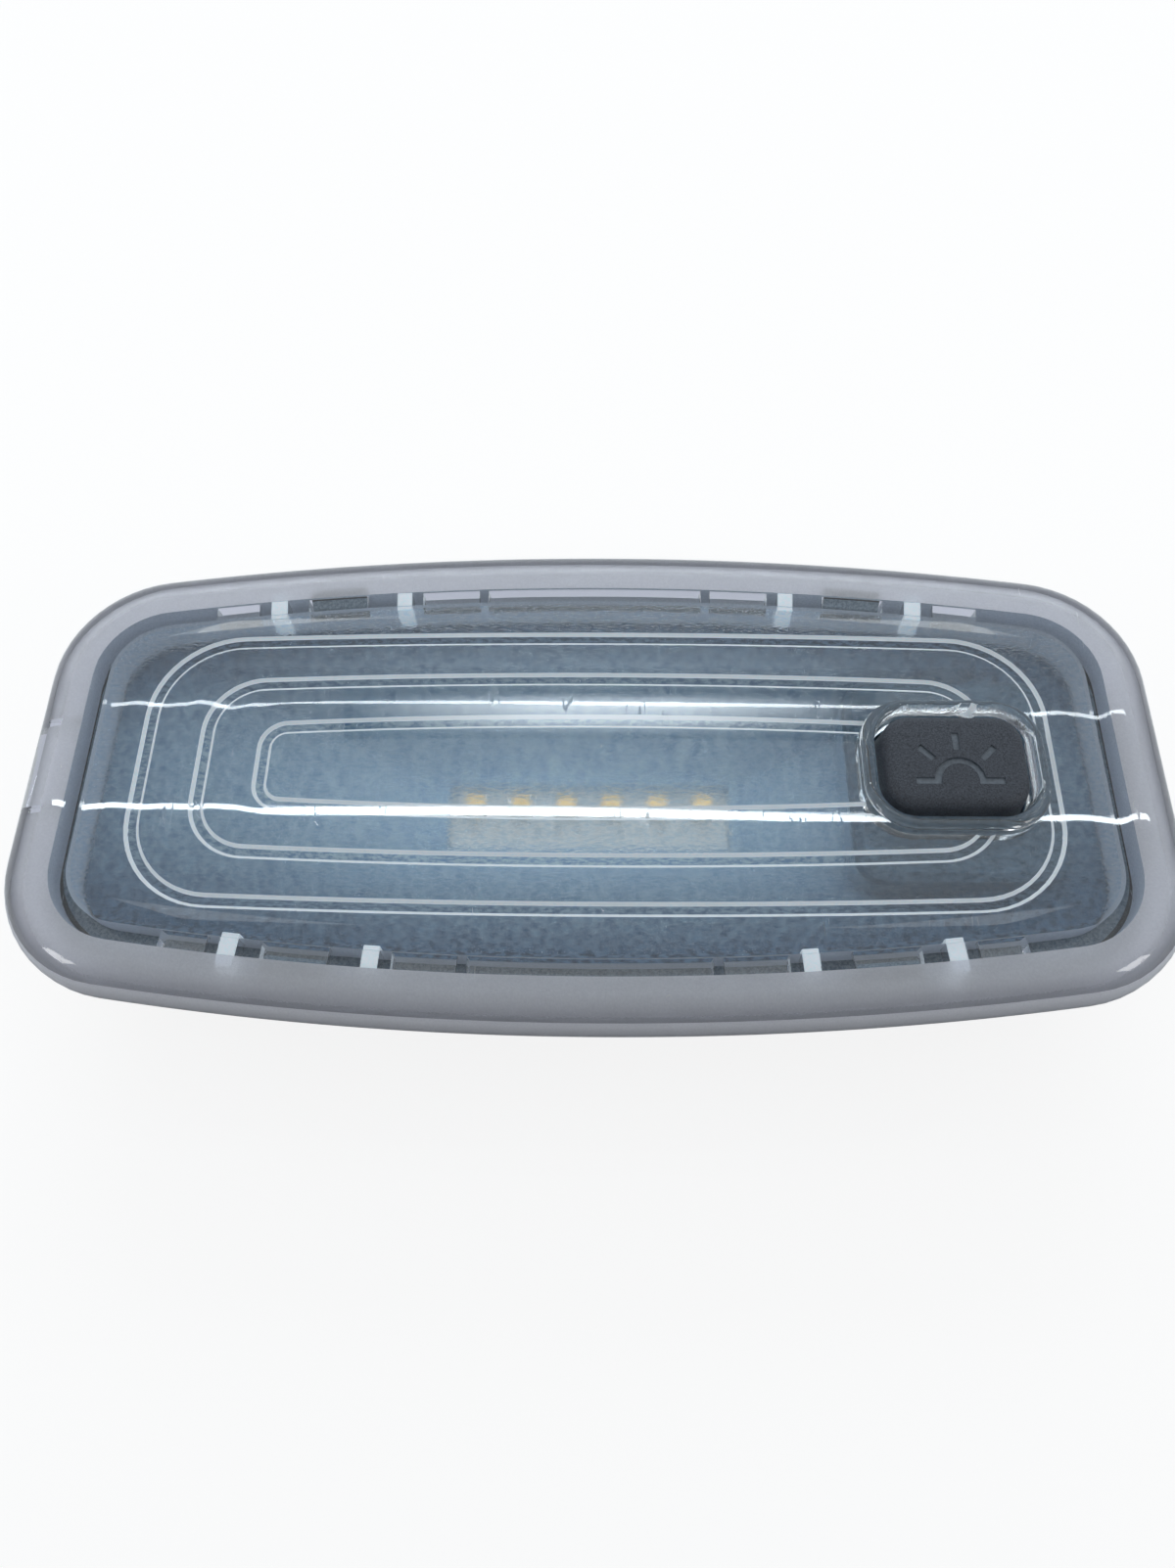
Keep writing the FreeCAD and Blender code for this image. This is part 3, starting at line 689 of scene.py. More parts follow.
def button_loop(grow):
    """The button's outline, grown evenly."""
    loop = barrel(BUTTON_HALF[0] + grow, BUTTON_HALF[1] + grow, STRAIGHT, BUTTON_CORNER + grow)
    return loop + np.array([BUTTON_X, 0.0])


def collar_rows():
    """Section of the bead: outer wall, rounded lip, inner wall."""
    inner = BUTTON_GAP
    outer = BUTTON_GAP + COLLAR_WALL
    lip = COLLAR_WALL / 2
    rows = [(at_height(button_loop(outer), COLLAR_LOW), POLISHED)]
    for step in range(ROLL_STEPS + 1):
        turn = math.pi * step / ROLL_STEPS
        grow = inner + lip * (1 + math.cos(turn))
        rows.append((on_dome(button_loop(grow), -COLLAR_PROUD + lip * (1 - math.sin(turn))), POLISHED))
    rows.append((at_height(button_loop(inner), COLLAR_LOW), POLISHED))
    return rows


hole_loop = button_loop(BUTTON_GAP + COLLAR_WALL / 2)
hole_rows = [(at_height(hole_loop, SKIRT_LOW), POLISHED), (at_height(hole_loop, 2 * LENS_TOP), POLISHED)]
combine(lens, loft("hole", hole_rows, LENS_SLOTS), "DIFFERENCE")
combine(lens, loft("collar", collar_rows(), LENS_SLOTS, ring=True), "UNION")
print("lens with collar:", len(lens.data.polygons))

# %% [markdown]
# ## Windows and channel
# The windows in the skirt let the housing's hooks in and make the row of bright and dark panes under
# the front. The channel between two ribs at the left end takes the screwdriver that lifts the lamp out.
# Side cores would leave both in the mould, so both are plain cuts here.

# %% Windows and channel
WINDOWS = (
    ((-38.6 * MM, 38.6 * MM), 9.0 * MM),
    ((-21.6 * MM, 21.6 * MM), 8.6 * MM),
    ((-53.6 * MM, 53.6 * MM), 6.4 * MM),
    ((0.0,), 32.0 * MM),
)
WINDOW_REACH = (-3 * MM, MM)
WINDOW_SOFT = 0.12 * MM
CHANNEL_WIDTH = 12.4 * MM
CHANNEL_HEIGHT = 2.0 * MM
CHANNEL_RIB = 1.2 * MM
CHANNEL_RIB_RISE = 0.6 * MM
LENS_SMOOTH_DEG = 35

windows = []
for places, length in WINDOWS:
    windows += side_boxes(places, length, *WINDOW_REACH, WINDOW_LOW, WINDOW_HIGH)
combine(lens, bevelled_boxes("windows", windows, WINDOW_SOFT, LENS_SLOTS, POLISHED), "DIFFERENCE")

rib_length = SKIRT_INSET - WALL / 2
rib_x = -HALF_LENGTH + WALL / 2 + rib_length / 2
rib_low = SEAT + CHANNEL_RIB_RISE
rib_high = LENS_TOP - WALL - UNDER_GAP
rib_size = (rib_length, CHANNEL_RIB, rib_high - rib_low)
rib_y = (CHANNEL_WIDTH + CHANNEL_RIB) / 2
ribs = [(Vector((rib_x, y, (rib_low + rib_high) / 2)), rib_size, 0.0) for y in (-rib_y, rib_y)]
combine(lens, bevelled_boxes("channel_ribs", ribs, 0.0, LENS_SLOTS, POLISHED), "UNION")
notch = [(Vector((-HALF_LENGTH, 0, SEAT)), (2 * WALL + MM, CHANNEL_WIDTH, 2 * CHANNEL_HEIGHT), 0.0)]
combine(lens, bevelled_boxes("notch", notch, 0.0, LENS_SLOTS, POLISHED), "DIFFERENCE")
smooth(lens, LENS_SMOOTH_DEG)
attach(lens, "lamp")
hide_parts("lens")
print("finished lens faces:", len(lens.data.polygons))

# %% [markdown]
# ## Button cap
# The cap is charcoal plastic with a fine spark grain and a slightly domed top. It is a skin of the same
# loops as the collar, so that the gap between the two is even all round.

# %% Button cap
BUTTON_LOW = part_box("push_button")[0][2]
BUTTON_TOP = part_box("push_button")[1][2]
STOP_LOW = 20.3 * MM


def button_cap():
    """Charcoal plastic with spark grain."""
    finish = Finish("button_cap", Specular_IOR_Level=0.35)
    grain = finish.noise(0.22 * MM, detail=3.0, roughness=0.65)
    tint = finish.ramp(grain, (0.3, (0.015, 0.017, 0.022)), (0.72, (0.062, 0.07, 0.087)))
    finish.feed("Base Color", tint)
    finish.feed("Roughness", finish.span(grain, 0.3, 0.7, 0.62, 0.42))
    finish.bump(grain, 0.06 * MM, 0.9)
    return finish.material


def button_sign():
    """Smoother floor of the engraved sign."""
    finish = Finish("button_sign")
    wear = finish.noise(0.5 * MM)
    finish.feed("Base Color", finish.ramp(wear, (0.3, (0.06, 0.072, 0.088)), (0.7, (0.10, 0.117, 0.14))))
    finish.feed("Roughness", finish.span(wear, 0.3, 0.7, 0.4, 0.5))
    return finish.material


BUTTON_SLOTS = [button_cap(), button_sign()]
CAP_ROUND = 1.8 * MM
CAP_CROWN = 0.3 * MM
CAP_DRAFT = 0.45 * MM
CAP_SHARES = (0.8, 0.6, 0.4, 0.2, 0.05)


def cap_rows():
    """From the stop flange up the drafted wall, round the edge and over the crowned top."""
    shoulder = BUTTON_TOP - CAP_CROWN - CAP_ROUND
    rows = [(at_height(button_loop(0.0), STOP_LOW), 0), (at_height(button_loop(0.0), COLLAR_LOW), 0)]
    for step in range(ROLL_STEPS + 1):
        turn = math.pi / 2 * step / ROLL_STEPS
        grow = -CAP_DRAFT - CAP_ROUND * (1 - math.cos(turn))
        rows.append((at_height(button_loop(grow), shoulder + CAP_ROUND * math.sin(turn)), 0))
    edge = button_loop(-CAP_DRAFT - CAP_ROUND)
    middle = np.array([BUTTON_X, 0.0])
    for share in CAP_SHARES:
        rise = CAP_CROWN * (1 - share ** 2)
        rows.append((at_height(middle + (edge - middle) * share, shoulder + CAP_ROUND + rise), 0))
    return rows


button = loft("push_button_cap", cap_rows(), BUTTON_SLOTS)
print("plain cap faces:", len(button.data.polygons))

# %% [markdown]
# ## Sign and stops of the button
# The sign is the plain mark for a cabin lamp: an arch on two feet with three rays. It is cut into the
# cap, with a smoother, lighter floor. Below, a stop bar keeps the cap in its tower and a round post
# presses the switch.

# %% Sign and stops of the button
SIGN_DEPTH = 0.28 * MM
SIGN_STROKE = 0.95 * MM
ARCH_RADIUS = 3.0 * MM
ARCH_Y = -3.4 * MM
FOOT_REACH = 6.0 * MM
RAY_NEAR = 4.6 * MM
RAY_FAR = 7.3 * MM
RAY_LEANS_DEG = (-45, 0, 45)
ARCH_STEPS = 24
STOP_HIGH = 21.7 * MM
STOP_HALF = (5.8 * MM, 8.3 * MM)
POST_RADIUS = 2.5 * MM
POST_POINTS = 32
BUTTON_SMOOTH_DEG = 40
SQUARE = ((-1, -1), (1, -1), (1, 1), (-1, 1))


def prism(name, outline, low, high, materials, finish):
    """Upright block over a plan outline."""
    points = np.array(outline)
    return loft(name, [(at_height(points, low), finish), (at_height(points, high), finish)], materials)


def arch_outline():
    """Half ring that stands on two flat feet."""
    half = SIGN_STROKE / 2
    outer = ARCH_RADIUS + half
    inner = ARCH_RADIUS - half
    foot = ARCH_Y - half
    step_x = math.sqrt(outer ** 2 - half ** 2)
    start = math.asin(half / outer)
    top = foot + SIGN_STROKE
    points = [(FOOT_REACH, foot), (FOOT_REACH, top), (step_x, top)]
    for step in range(1, ARCH_STEPS):
        angle = start + (math.pi - 2 * start) * step / ARCH_STEPS
        points.append((outer * math.cos(angle), ARCH_Y + outer * math.sin(angle)))
    points += [(-step_x, top), (-FOOT_REACH, top), (-FOOT_REACH, foot), (-inner, foot)]
    for step in range(ARCH_STEPS + 1):
        angle = math.pi * (1 - step / ARCH_STEPS)
        points.append((inner * math.cos(angle), ARCH_Y + inner * math.sin(angle)))
    points.append((inner, foot))
    return [(x + BUTTON_X, y) for x, y in points]


def ray_outline(lean_deg):
    """Short bar that points away from the arch."""
    along = Vector((math.sin(math.radians(lean_deg)), math.cos(math.radians(lean_deg))))
    side = Vector((along.y, -along.x)) * SIGN_STROKE / 2
    centre = Vector((BUTTON_X, ARCH_Y))
    near = centre + along * RAY_NEAR
    far = centre + along * RAY_FAR
    return [tuple(near - side), tuple(near + side), tuple(far + side), tuple(far - side)]


sign_low = BUTTON_TOP - SIGN_DEPTH - CAP_CROWN / 3
sign_high = BUTTON_TOP + MM
for outline in [arch_outline()] + [ray_outline(lean) for lean in RAY_LEANS_DEG]:
    combine(button, prism("sign", outline, sign_low, sign_high, BUTTON_SLOTS, 1), "DIFFERENCE")
stop_outline = [(BUTTON_X + x * STOP_HALF[0], y * STOP_HALF[1]) for x, y in SQUARE]
combine(button, prism("stop", stop_outline, STOP_LOW, STOP_HIGH, BUTTON_SLOTS, 0), "UNION")
turns = [2 * math.pi * step / POST_POINTS for step in range(POST_POINTS)]
post_outline = [(BUTTON_X + POST_RADIUS * math.cos(turn), POST_RADIUS * math.sin(turn)) for turn in turns]
combine(button, prism("post", post_outline, BUTTON_LOW, STOP_LOW + MM, BUTTON_SLOTS, 0), "UNION")
smooth(button, BUTTON_SMOOTH_DEG)
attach(button, "button")
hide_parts("push_button")
print("button faces:", len(button.data.polygons))

# %% [markdown]
# ## Plastics behind the lens
# The tray, board, lamps and housing keep their CAD meshes and get procedural finishes. Colours vary a
# little over each surface, because even a plain moulding is never one flat tone. The tray also carries a
# painted pool of light and painted shade on the button's tower, and the housing's shelf under the lens
# is painted lighter as light.

# %% Plastics behind the lens
CLOUD_SIZE = 18 * MM
GRAIN_RELIEF = 0.03 * MM
TRAY_PAINTED_LIGHT_SHAPE = (0.8, 2.8, 1.0)
TRAY_PAINTED_LIGHT_PLACE = (-3 * MM, 0.0, 12 * MM)
TRAY_PAINTED_LIGHT_SPAN = (10 * MM, 72 * MM)
TOWER_X = 36.3 * MM
TOWER_LOW = 20.3 * MM
SHELF_LOW = 18.3 * MM


def dress(node, material):
    """Gives a CAD node its finish."""
    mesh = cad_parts[node].data
    mesh.materials.clear()
    mesh.materials.append(material)


def moulded(name, dark, light, grain_size):
    """Moulded plastic with a fine grain."""
    finish = Finish(name, Specular_IOR_Level=0.4)
    grain = finish.noise(grain_size, detail=3.0, roughness=0.6)
    cloud = finish.noise(CLOUD_SIZE, detail=1.0)
    mix = grain * 0.7 + cloud * 0.3
    finish.feed("Base Color", finish.ramp(mix, (0.32, dark), (0.68, light)))
    finish.feed("Roughness", finish.span(grain, 0.3, 0.7, 0.45, 0.6))
    finish.bump(grain, GRAIN_RELIEF, 0.8)
    return finish.material


def tray_plastic():
    """Blue-grey dish with a painted pool of light round the lamps; the button's tower on it is painted
    darker as shade.
    """
    finish = Finish("tray_plastic", Specular_IOR_Level=0.2)
    grain = finish.noise(0.7 * MM, detail=3.0, roughness=0.65, stretch=(0.6, 1.2, 1))
    edge = finish.ramp(grain, (0.38, (0.03, 0.06, 0.105)), (0.6, (0.11, 0.20, 0.31)))
    middle = finish.ramp(grain, (0.38, (0.32, 0.54, 0.82)), (0.6, (0.78, 0.96, 1.0)))
    # Painted light: the dish is brightest in an oval round the lamps and fades to dark towards its edges.
    narrowed = {0: finish.place, 1: TRAY_PAINTED_LIGHT_SHAPE}
    flat_place = finish.start.node("ShaderNodeVectorMath", narrowed, operation="MULTIPLY")
    from_middle = {0: flat_place, 1: TRAY_PAINTED_LIGHT_PLACE}
    away = finish.start.node("ShaderNodeVectorMath", from_middle, output="Value", operation="DISTANCE")
    dish = finish.blend(finish.span(away, *TRAY_PAINTED_LIGHT_SPAN), middle, edge)
    # Painted shade: the button's tower gets a darker blue-grey than the dish.
    tower = finish.ramp(grain, (0.3, (0.06, 0.105, 0.15)), (0.7, (0.16, 0.25, 0.34)))
    in_shaded_tower = (finish.axis("X") > TOWER_X) * (finish.axis("Z") > TOWER_LOW)
    finish.feed("Base Color", finish.blend(in_shaded_tower, dish, tower))
    finish.feed("Roughness", finish.span(grain, 0.3, 0.7, 0.45, 0.65))
    finish.bump(grain, 0.05 * MM, 0.8)
    return finish.material


def housing_plastic():
    """Black tub; its shelf inside the lens's skirt is painted a lighter blue-grey like the tray, as
    painted light through the lens.
    """
    finish = Finish("housing_plastic", Specular_IOR_Level=0.4)
    grain = finish.noise(0.35 * MM, detail=3.0, roughness=0.6)
    tub = finish.ramp(grain, (0.36, (0.022, 0.023, 0.025)), (0.64, (0.05, 0.051, 0.054)))
    shelf = finish.ramp(grain, (0.36, (0.10, 0.15, 0.20)), (0.64, (0.24, 0.32, 0.40)))
    x = finish.axis("X")
    bowed = finish.axis("Y").size() + x * x * (0.5 / SIDE_RADIUS)
    along = finish.start.maths("MAXIMUM", x.size() - (HALF_LENGTH - CORNER), 0.0)
    across = finish.start.maths("MAXIMUM", bowed - (HALF_WIDTH - CORNER), 0.0)
    in_skirt = along * along + across * across < (CORNER - SKIRT_INSET) ** 2
    # Painted light: the shelf under the lens is a lighter blue-grey than the black tub.
    finish.feed("Base Color", finish.blend((finish.axis("Z") > SHELF_LOW) * in_skirt, tub, shelf))
    finish.feed("Roughness", finish.span(grain, 0.3, 0.7, 0.45, 0.6))
    finish.bump(grain, GRAIN_RELIEF, 0.8)
    return finish.material


print("grain relief:", GRAIN_RELIEF / MM, "mm")

# %% [markdown]
# ## Board, lamp fill and metal
# The board is fibreglass under white solder mask, with a thin gloss. The lamps are filled with silicone
# that holds a yellow powder, with a faint painted glow. The spring and the pins are rolled metal, so
# their noise is stretched along one axis into fine lines.

# %% Board, lamp fill and metal
PAINTED_LAMP_GLOW = 0.45


def board_mask():
    """White solder mask with a faint mottle."""
    finish = Finish("board_mask", Coat_Weight=0.3)
    mottle = finish.noise(1.2 * MM)
    finish.feed("Base Color", finish.ramp(mottle, (0.3, (0.88, 0.90, 0.88)), (0.7, (0.96, 0.97, 0.95))))
    finish.feed("Roughness", finish.span(mottle, 0.3, 0.7, 0.3, 0.42))
    return finish.material


def lamp_fill():
    """Silicone loaded with yellow phosphor, with a faint painted glow."""
    finish = Finish("lamp_fill", Coat_Weight=0.4, Emission_Strength=PAINTED_LAMP_GLOW)
    powder = finish.noise(0.12 * MM, detail=3.0)
    tint = finish.ramp(powder, (0.3, (0.90, 0.58, 0.20)), (0.7, (1.0, 0.72, 0.34)))
    finish.feed("Base Color", tint)
    # Painted glow: the tint is also fed to the emission.
    finish.feed("Emission Color", tint)
    finish.feed("Roughness", finish.span(powder, 0.3, 0.7, 0.3, 0.45))
    return finish.material


def drawn_metal(name, dark, light):
    """Bare metal with fine rolling lines."""
    finish = Finish(name, Metallic=1.0)
    lines = finish.noise(0.15 * MM, detail=3.0, stretch=(1, 0.08, 1))
    finish.feed("Base Color", finish.ramp(lines, (0.3, dark), (0.7, light)))
    finish.feed("Roughness", finish.span(lines, 0.3, 0.7, 0.28, 0.42))
    finish.bump(lines, 0.01 * MM, 0.5)
    return finish.material


print("glow of the lamp fill:", PAINTED_LAMP_GLOW)

# %% [markdown]
# ## Which node gets which finish
# Single nodes are listed by name and repeated ones by the start of their name. The lens and the button
# have meshes of their own, made above.

# %% Dress the nodes
black_plastic = moulded("black_plastic", (0.022, 0.023, 0.025), (0.05, 0.051, 0.054), 0.35 * MM)
chip_plastic = moulded("chip_plastic", (0.02, 0.02, 0.02), (0.035, 0.035, 0.037), 0.2 * MM)
stem_plastic = moulded("stem_plastic", (0.55, 0.54, 0.5), (0.66, 0.65, 0.61), 0.3 * MM)
package_plastic = moulded("package_plastic", (0.78, 0.77, 0.73), (0.86, 0.85, 0.82), 0.2 * MM)
spring_metal = drawn_metal("spring_metal", (0.30, 0.30, 0.31), (0.46, 0.46, 0.47))
tin_metal = drawn_metal("tin_metal", (0.55, 0.55, 0.54), (0.72, 0.72, 0.70))
NODE_FINISHES = {
    "housing": housing_plastic(),
    "connector_header": black_plastic,
    "light_tray": tray_plastic(),
    "circuit_board": board_mask(),
    "switch_body": chip_plastic,
    "switch_plunger": stem_plastic,
    "retaining_spring": spring_metal,
    "driver_chip": chip_plastic,
    "diode": chip_plastic,
}
REPEATED_FINISHES = {
    "led_phosphor_": lamp_fill(),
    "led_": package_plastic,
    "connector_pin_": tin_metal,
    "capacitor_": tin_metal,
    "resistor_": chip_plastic,
}
kept_nodes = [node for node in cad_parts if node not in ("lens", "push_button")]
for node in kept_nodes:
    family = next((key for key in REPEATED_FINISHES if node.startswith(key)), None)
    dress(node, REPEATED_FINISHES[family] if family else NODE_FINISHES[node])
print("dressed nodes:", len(kept_nodes))

# %% [markdown]
# ## Solder dots
# Beside the lamps the board has a row of bright solder dots, two to a lamp. Hot solder draws itself
# into flat beads that differ a little in size. They repeat at an even pitch, so a small node tree sets
# flattened beads on a line of points.

# %% Tree for a row of dots
DOT_FLATNESS = 0.45
DOT_SIZES = (0.85, 1.1)
BEAD_SEGMENTS = 20
BEAD_RINGS = 10


def dot_row_tree():
    """Node tree that sets beads on a straight row of points."""
    tree = bpy.data.node_groups.new("dot_row", "GeometryNodeTree")
    kinds = {"Count": "Int", "Start": "Vector", "Step": "Vector"}
    kinds |= {"Radius": "Float", "Seed": "Int", "Finish": "Material"}
    for name, kind in kinds.items():
        tree.interface.new_socket(name, in_out="INPUT", socket_type="NodeSocket" + kind)
    tree.interface.new_socket("Geometry", in_out="OUTPUT", socket_type="NodeSocketGeometry")
    given = tree.nodes.new("NodeGroupInput").outputs

    def add(kind, links, **settings):
        made = tree.nodes.new(kind)
        for name, value in settings.items():
            setattr(made, name, value)
        for key, value in links.items():
            if isinstance(value, bpy.types.NodeSocket):
                tree.links.new(value, made.inputs[key])
            else:
                made.inputs[key].default_value = value
        return made.outputs

    line = {"Count": given["Count"], "Start Location": given["Start"], "Offset": given["Step"]}
    row = add("GeometryNodeMeshLine", line, mode="OFFSET")
    ball = {"Segments": BEAD_SEGMENTS, "Rings": BEAD_RINGS, "Radius": given["Radius"]}
    bead = add("GeometryNodeMeshUVSphere", ball)
    limits = {"Min": DOT_SIZES[0], "Max": DOT_SIZES[1], "Seed": given["Seed"]}
    size = add("FunctionNodeRandomValue", limits, data_type="FLOAT")
    flat = add("ShaderNodeMath", {0: size["Value"], 1: DOT_FLATNESS}, operation="MULTIPLY")
    scale = add("ShaderNodeCombineXYZ", {"X": size["Value"], "Y": size["Value"], "Z": flat["Value"]})
    spread = {"Points": row["Mesh"], "Instance": bead["Mesh"], "Scale": scale["Vector"]}
    beads = add("GeometryNodeInstanceOnPoints", spread)
    real = add("GeometryNodeRealizeInstances", {"Geometry": beads["Instances"]})
    dressed = add("GeometryNodeSetMaterial", {"Geometry": real["Geometry"], "Material": given["Finish"]})
    tree.links.new(dressed["Geometry"], tree.nodes.new("NodeGroupOutput").inputs["Geometry"])
    return tree


def grow(name, tree, values):
    """Runs a node tree once on an empty mesh and returns the result as a plain object."""
    made = new_object(name, bpy.data.meshes.new(name), [])
    step = made.modifiers.new("grow", "NODES")
    step.node_group = tree
    for item in tree.interface.items_tree:
        if item.in_out == "INPUT":
            step[item.identifier] = values[item.name]
    shape = made.evaluated_get(bpy.context.evaluated_depsgraph_get())
    result = bpy.data.meshes.new_from_object(shape)
    made.modifiers.clear()
    made.data = result
    return made


dot_tree = dot_row_tree()
print("nodes in the tree:", len(dot_tree.nodes))

# %% [markdown]
# ## Place the dots
# The row runs from the middle of the first lamp to the middle of the last, and both come from the
# frame. The beads sink halfway into the board's face, as solder wets the pad below it.

# %% Place the dots
DOT_COUNT = 12
DOT_RADIUS = 0.45 * MM
DOT_ROW_Y = -2.6 * MM
DOT_SEED = 7
DOT_SMOOTH_DEG = 60
board_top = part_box("circuit_board")[1][2]
first_low, first_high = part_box("led_1")
last_low, last_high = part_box("led_6")
first_x = (first_low[0] + first_high[0]) / 2
last_x = (last_low[0] + last_high[0]) / 2
dot_step = ((last_x - first_x) / (DOT_COUNT - 1), 0.0, 0.0)
dot_start = (first_x, DOT_ROW_Y, board_top)
dot_values = {"Count": DOT_COUNT, "Start": dot_start, "Step": dot_step}
dot_values |= {"Radius": DOT_RADIUS, "Seed": DOT_SEED, "Finish": tin_metal}
dots = grow("solder_dots", dot_tree, dot_values)
smooth(dots, DOT_SMOOTH_DEG)
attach(dots, "lamp")
print("solder dot faces:", len(dots.data.polygons))

# %% [markdown]
# ## Table and surround
# The lamp lies on a plain white table under an even white surround. The table keeps only a faint shadow
# to the eye; seen through the clear plastic it is painted a darker lavender, as painted shade. A dark
# card on the near side keeps the rim's near edge from washing out.

# %% Table and surround
TABLE_HALF = 3.0
SHADOW_SHARE = 0.15
FLAG_HALF = 0.2
FLAG_Y = -0.16
FLAG_HIGH = 0.24
SURROUND = 0.75


def card(name, corners, finish):
    """Flat four-cornered piece of the studio."""
    mesh = bpy.data.meshes.new(name)
    mesh.from_pydata(corners, [], [(0, 1, 2, 3)])
    made = new_object(name, mesh, [finish.material])
    return made


def table():
    finish = Finish("table_white")
    cloud = finish.noise(0.4, detail=1.0)
    white = finish.ramp(cloud, (0.3, (0.90, 0.90, 0.90)), (0.7, (0.92, 0.92, 0.92)))
    through_lens_shade = finish.ramp(cloud, (0.3, (0.52, 0.52, 0.60)), (0.7, (0.56, 0.56, 0.64)))
    # Painted shade: seen through the lens, the table takes a darker lavender colour.
    through = finish.start.node("ShaderNodeLightPath", output="Is Transmission Ray")
    finish.feed("Base Color", finish.blend(through, white, through_lens_shade))
    finish.feed("Roughness", finish.span(cloud, 0.3, 0.7, 0.55, 0.65))
    seen = finish.start.node("ShaderNodeLightPath", output="Is Camera Ray") * (1 - SHADOW_SHARE)
    glow = finish.start.node("ShaderNodeEmission", {"Color": rgb(1, 1, 1), "Strength": 1.0})
    lit = Wire(finish.tree, finish.shader.outputs[0])
    mixed = finish.start.node("ShaderNodeMixShader", {0: seen, 1: lit, 2: glow})
    finish.tree.links.new(mixed.socket, finish.tree.nodes["Material Output"].inputs["Surface"])
    card("table", [(x * TABLE_HALF, y * TABLE_HALF, 0) for x, y in SQUARE], finish)


def flag():
    """Dark card on the near side, not seen itself."""
    finish = Finish("flag_black")
    felt = finish.noise(2 * MM)
    finish.feed("Base Color", finish.ramp(felt, (0.3, (0.02, 0.02, 0.02)), (0.7, (0.03, 0.03, 0.03))))
    finish.feed("Roughness", finish.span(felt, 0.3, 0.7, 0.9, 1.0))
    made = card("flag", [(x * FLAG_HALF, FLAG_Y, (1 + y) / 2 * FLAG_HIGH) for x, y in SQUARE], finish)
    made.visible_camera = False
    made.visible_glossy = False


def surround():
    world = bpy.data.worlds.new("surround")
    bpy.context.scene.world = world
    world.use_nodes = True
    start = Wire(world.node_tree)
    light = start.node("ShaderNodeBackground", {"Color": rgb(0.90, 0.96, 1.0), "Strength": SURROUND})
    white = start.node("ShaderNodeBackground", {"Color": rgb(1, 1, 1), "Strength": 1.0})
    seen = start.node("ShaderNodeLightPath", output="Is Camera Ray")
    mixed = start.node("ShaderNodeMixShader", {0: seen, 1: light, 2: white})
    world.node_tree.links.new(mixed.socket, world.node_tree.nodes["World Output"].inputs["Surface"])


table()
flag()
surround()
print("table half width:", TABLE_HALF, "m")

# %% [markdown]
# ## Lamps of the studio
# Two long strip lamps stand behind the object, so that their reflections draw two bright lines along
# the glossy front. A lit card round the far strip adds the soft glow beside its line. A wide panel,
# which no surface mirrors, gives the main light, and two small boxes at the sides lift the near corners
# of the rim.

# %% Lamps of the studio
STRIP_HEIGHT = 1.5
STRIP_TURN_DEG = -0.5
LAMP_TINT = (0.88, 0.96, 1.0)
# Each strip: lean in degrees, length, width, radiance
NEAR_STRIP = (23.75, 1.76, 0.009, 22.0)
FAR_STRIP = (29.7, 1.72, 0.006, 14.0)
PANEL = (62.0, 2.4, 1.3, 5.5)
SIDE_BOX_PLACE = (0.42, -0.2, 0.3)
SIDE_BOX_SIZE = 0.12
SIDE_BOX_RADIANCE = 6.0
GLOW_HALF = (0.45, 0.045)
GLOW_RADIANCE = 11.0
GLOW_ABOVE = 0.01


def strip(name, sizes, turn_deg=0.0, mirrored=True):
    """Long lamp behind the object, leaning back from the vertical and facing the middle of the lens."""
    lean_deg, length, width, radiance = sizes
    lamp = bpy.data.lights.new(name, "AREA")
    lamp.shape = "RECTANGLE"
    lamp.size = length
    lamp.size_y = width
    lamp.color = LAMP_TINT
    lamp.energy = radiance * math.pi * length * width
    made = bpy.data.objects.new(name, lamp)
    made.location = (0, STRIP_HEIGHT * math.tan(math.radians(lean_deg)), STRIP_HEIGHT + LENS_TOP)
    made.rotation_euler = (math.radians(-lean_deg), 0, math.radians(turn_deg))
    made.visible_glossy = mirrored
    bpy.context.scene.collection.objects.link(made)


def side_box(name, side):
    """Small square lamp low at one side, which lifts a near corner of the rim."""
    lamp = bpy.data.lights.new(name, "AREA")
    lamp.size = SIDE_BOX_SIZE
    lamp.energy = SIDE_BOX_RADIANCE * math.pi * SIDE_BOX_SIZE ** 2
    made = bpy.data.objects.new(name, lamp)
    made.location = (side * SIDE_BOX_PLACE[0], *SIDE_BOX_PLACE[1:])
    made.rotation_euler = made.location.to_track_quat("Z", "Y").to_euler()
    bpy.context.scene.collection.objects.link(made)


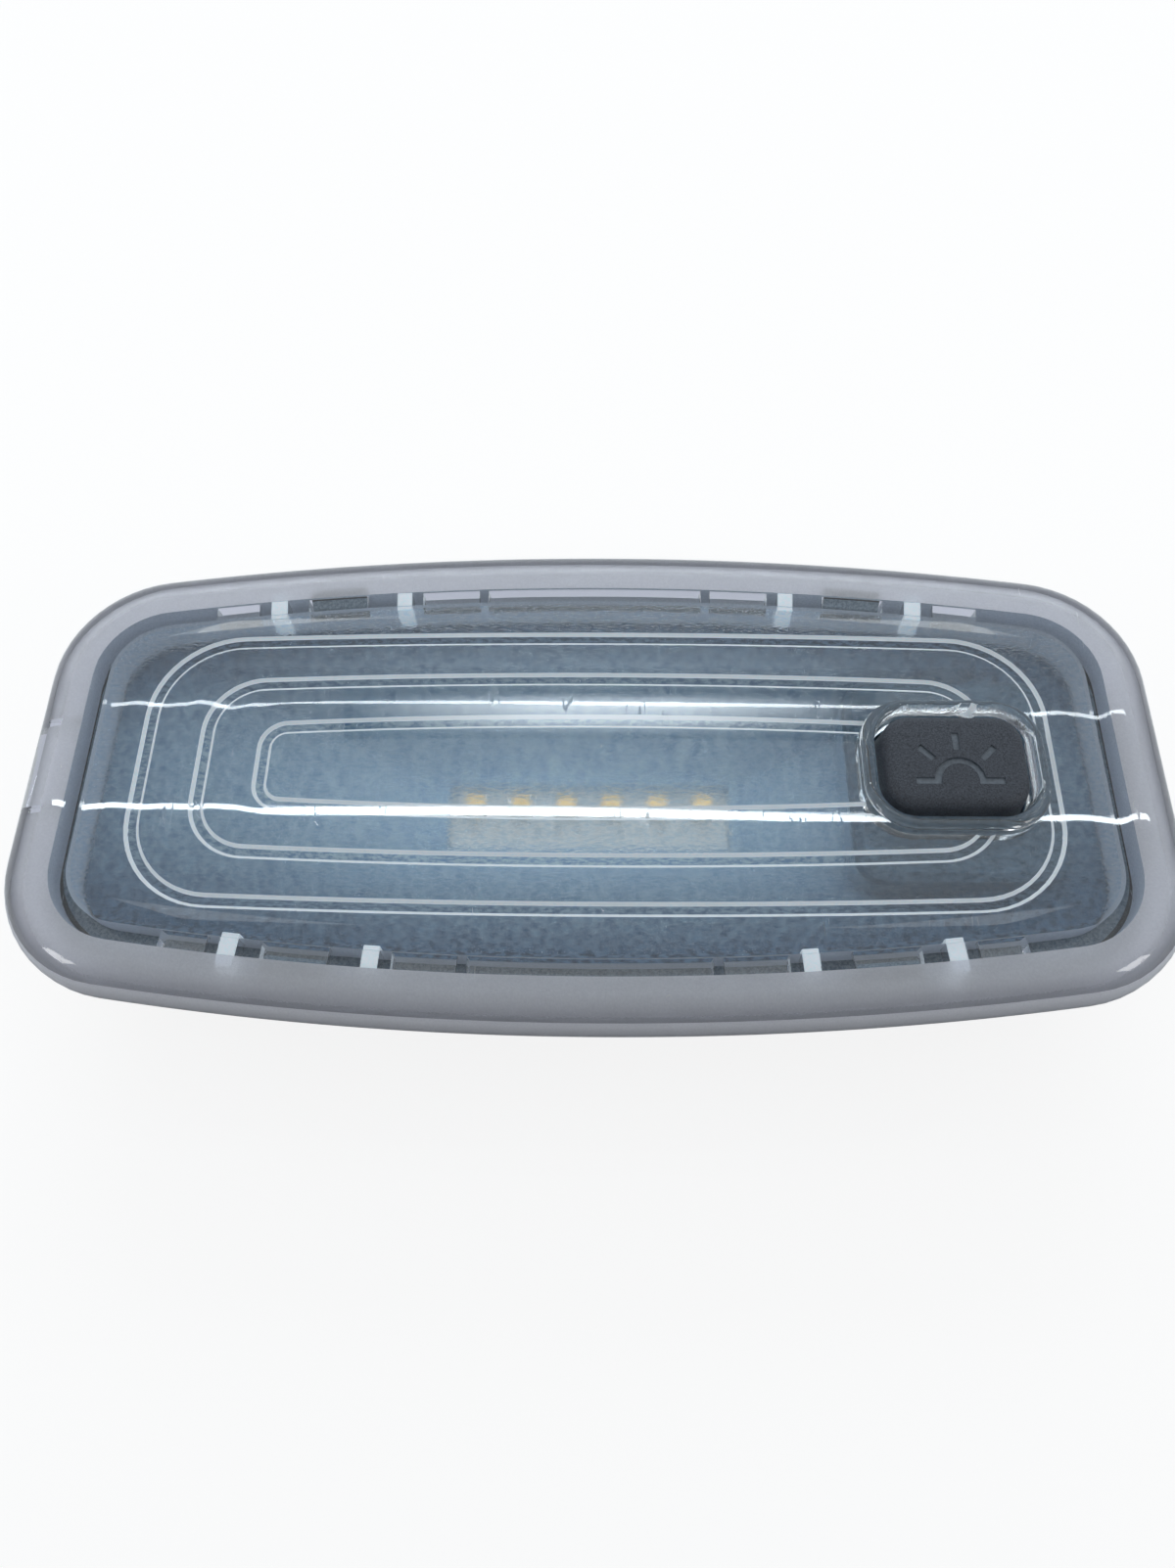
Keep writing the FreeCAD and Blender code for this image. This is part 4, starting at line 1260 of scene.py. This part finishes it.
def glow_card():
    """Lit card round the far strip that fades out from its middle."""
    lean = math.radians(FAR_STRIP[0])
    middle = Vector((0, STRIP_HEIGHT * math.tan(lean), STRIP_HEIGHT + LENS_TOP + GLOW_ABOVE))
    along = Vector((GLOW_HALF[0], 0, 0))
    across = Vector((0, math.cos(lean), -math.sin(lean))) * GLOW_HALF[1]
    finish = Finish("card_glow", Base_Color=rgb(0, 0, 0), Emission_Strength=GLOW_RADIANCE)
    from_line = finish.span((finish.axis("Y") - middle.y).size(), 0.0, across.y, 1.0, 0.0)
    from_middle = finish.span(finish.axis("X").size(), GLOW_HALF[0] / 4, GLOW_HALF[0], 1.0, 0.0)
    fade = from_line * from_line * from_middle
    finish.feed("Emission Color", finish.ramp(fade, (0.0, (0, 0, 0)), (1.0, LAMP_TINT)))
    corners = [middle + along * y + across * x for x, y in SQUARE]
    card("glow_card", corners, finish)


strip("strip_near", NEAR_STRIP, STRIP_TURN_DEG)
strip("strip_far", FAR_STRIP, STRIP_TURN_DEG)
strip("panel", PANEL, mirrored=False)
side_box("box_left", -1)
side_box("box_right", 1)
glow_card()
print("lamps:", [lamp.name for lamp in bpy.data.lights])

# %% [markdown]
# ## Camera
# The camera looks down on the lamp, a little from the near side, with a wide lens held close. Its
# place, turn and focal length were fitted together to the outline of the object.

# %% Camera
CAMERA_PLACE = (2.43 * MM, -69.7 * MM, 167.2 * MM)
CAMERA_TURN_DEG = (25.49, -2.10, 2.62)
FOCAL_MM = 25.84
SENSOR_MM = 36.0
NEAREST = 5 * MM

lens_data = bpy.data.cameras.new("view")
lens_data.lens = FOCAL_MM
lens_data.sensor_width = SENSOR_MM
lens_data.clip_start = NEAREST
view = bpy.data.objects.new("view", lens_data)
tilt, roll, pan = (math.radians(angle) for angle in CAMERA_TURN_DEG)
turn = Matrix.Rotation(pan, 4, "Z") @ Matrix.Rotation(tilt, 4, "X") @ Matrix.Rotation(roll, 4, "Z")
view.matrix_world = Matrix.Translation(CAMERA_PLACE) @ turn
bpy.context.scene.collection.objects.link(view)
bpy.context.scene.camera = view
bpy.context.scene.view_settings.view_transform = "Standard"
print("camera at", CAMERA_PLACE)
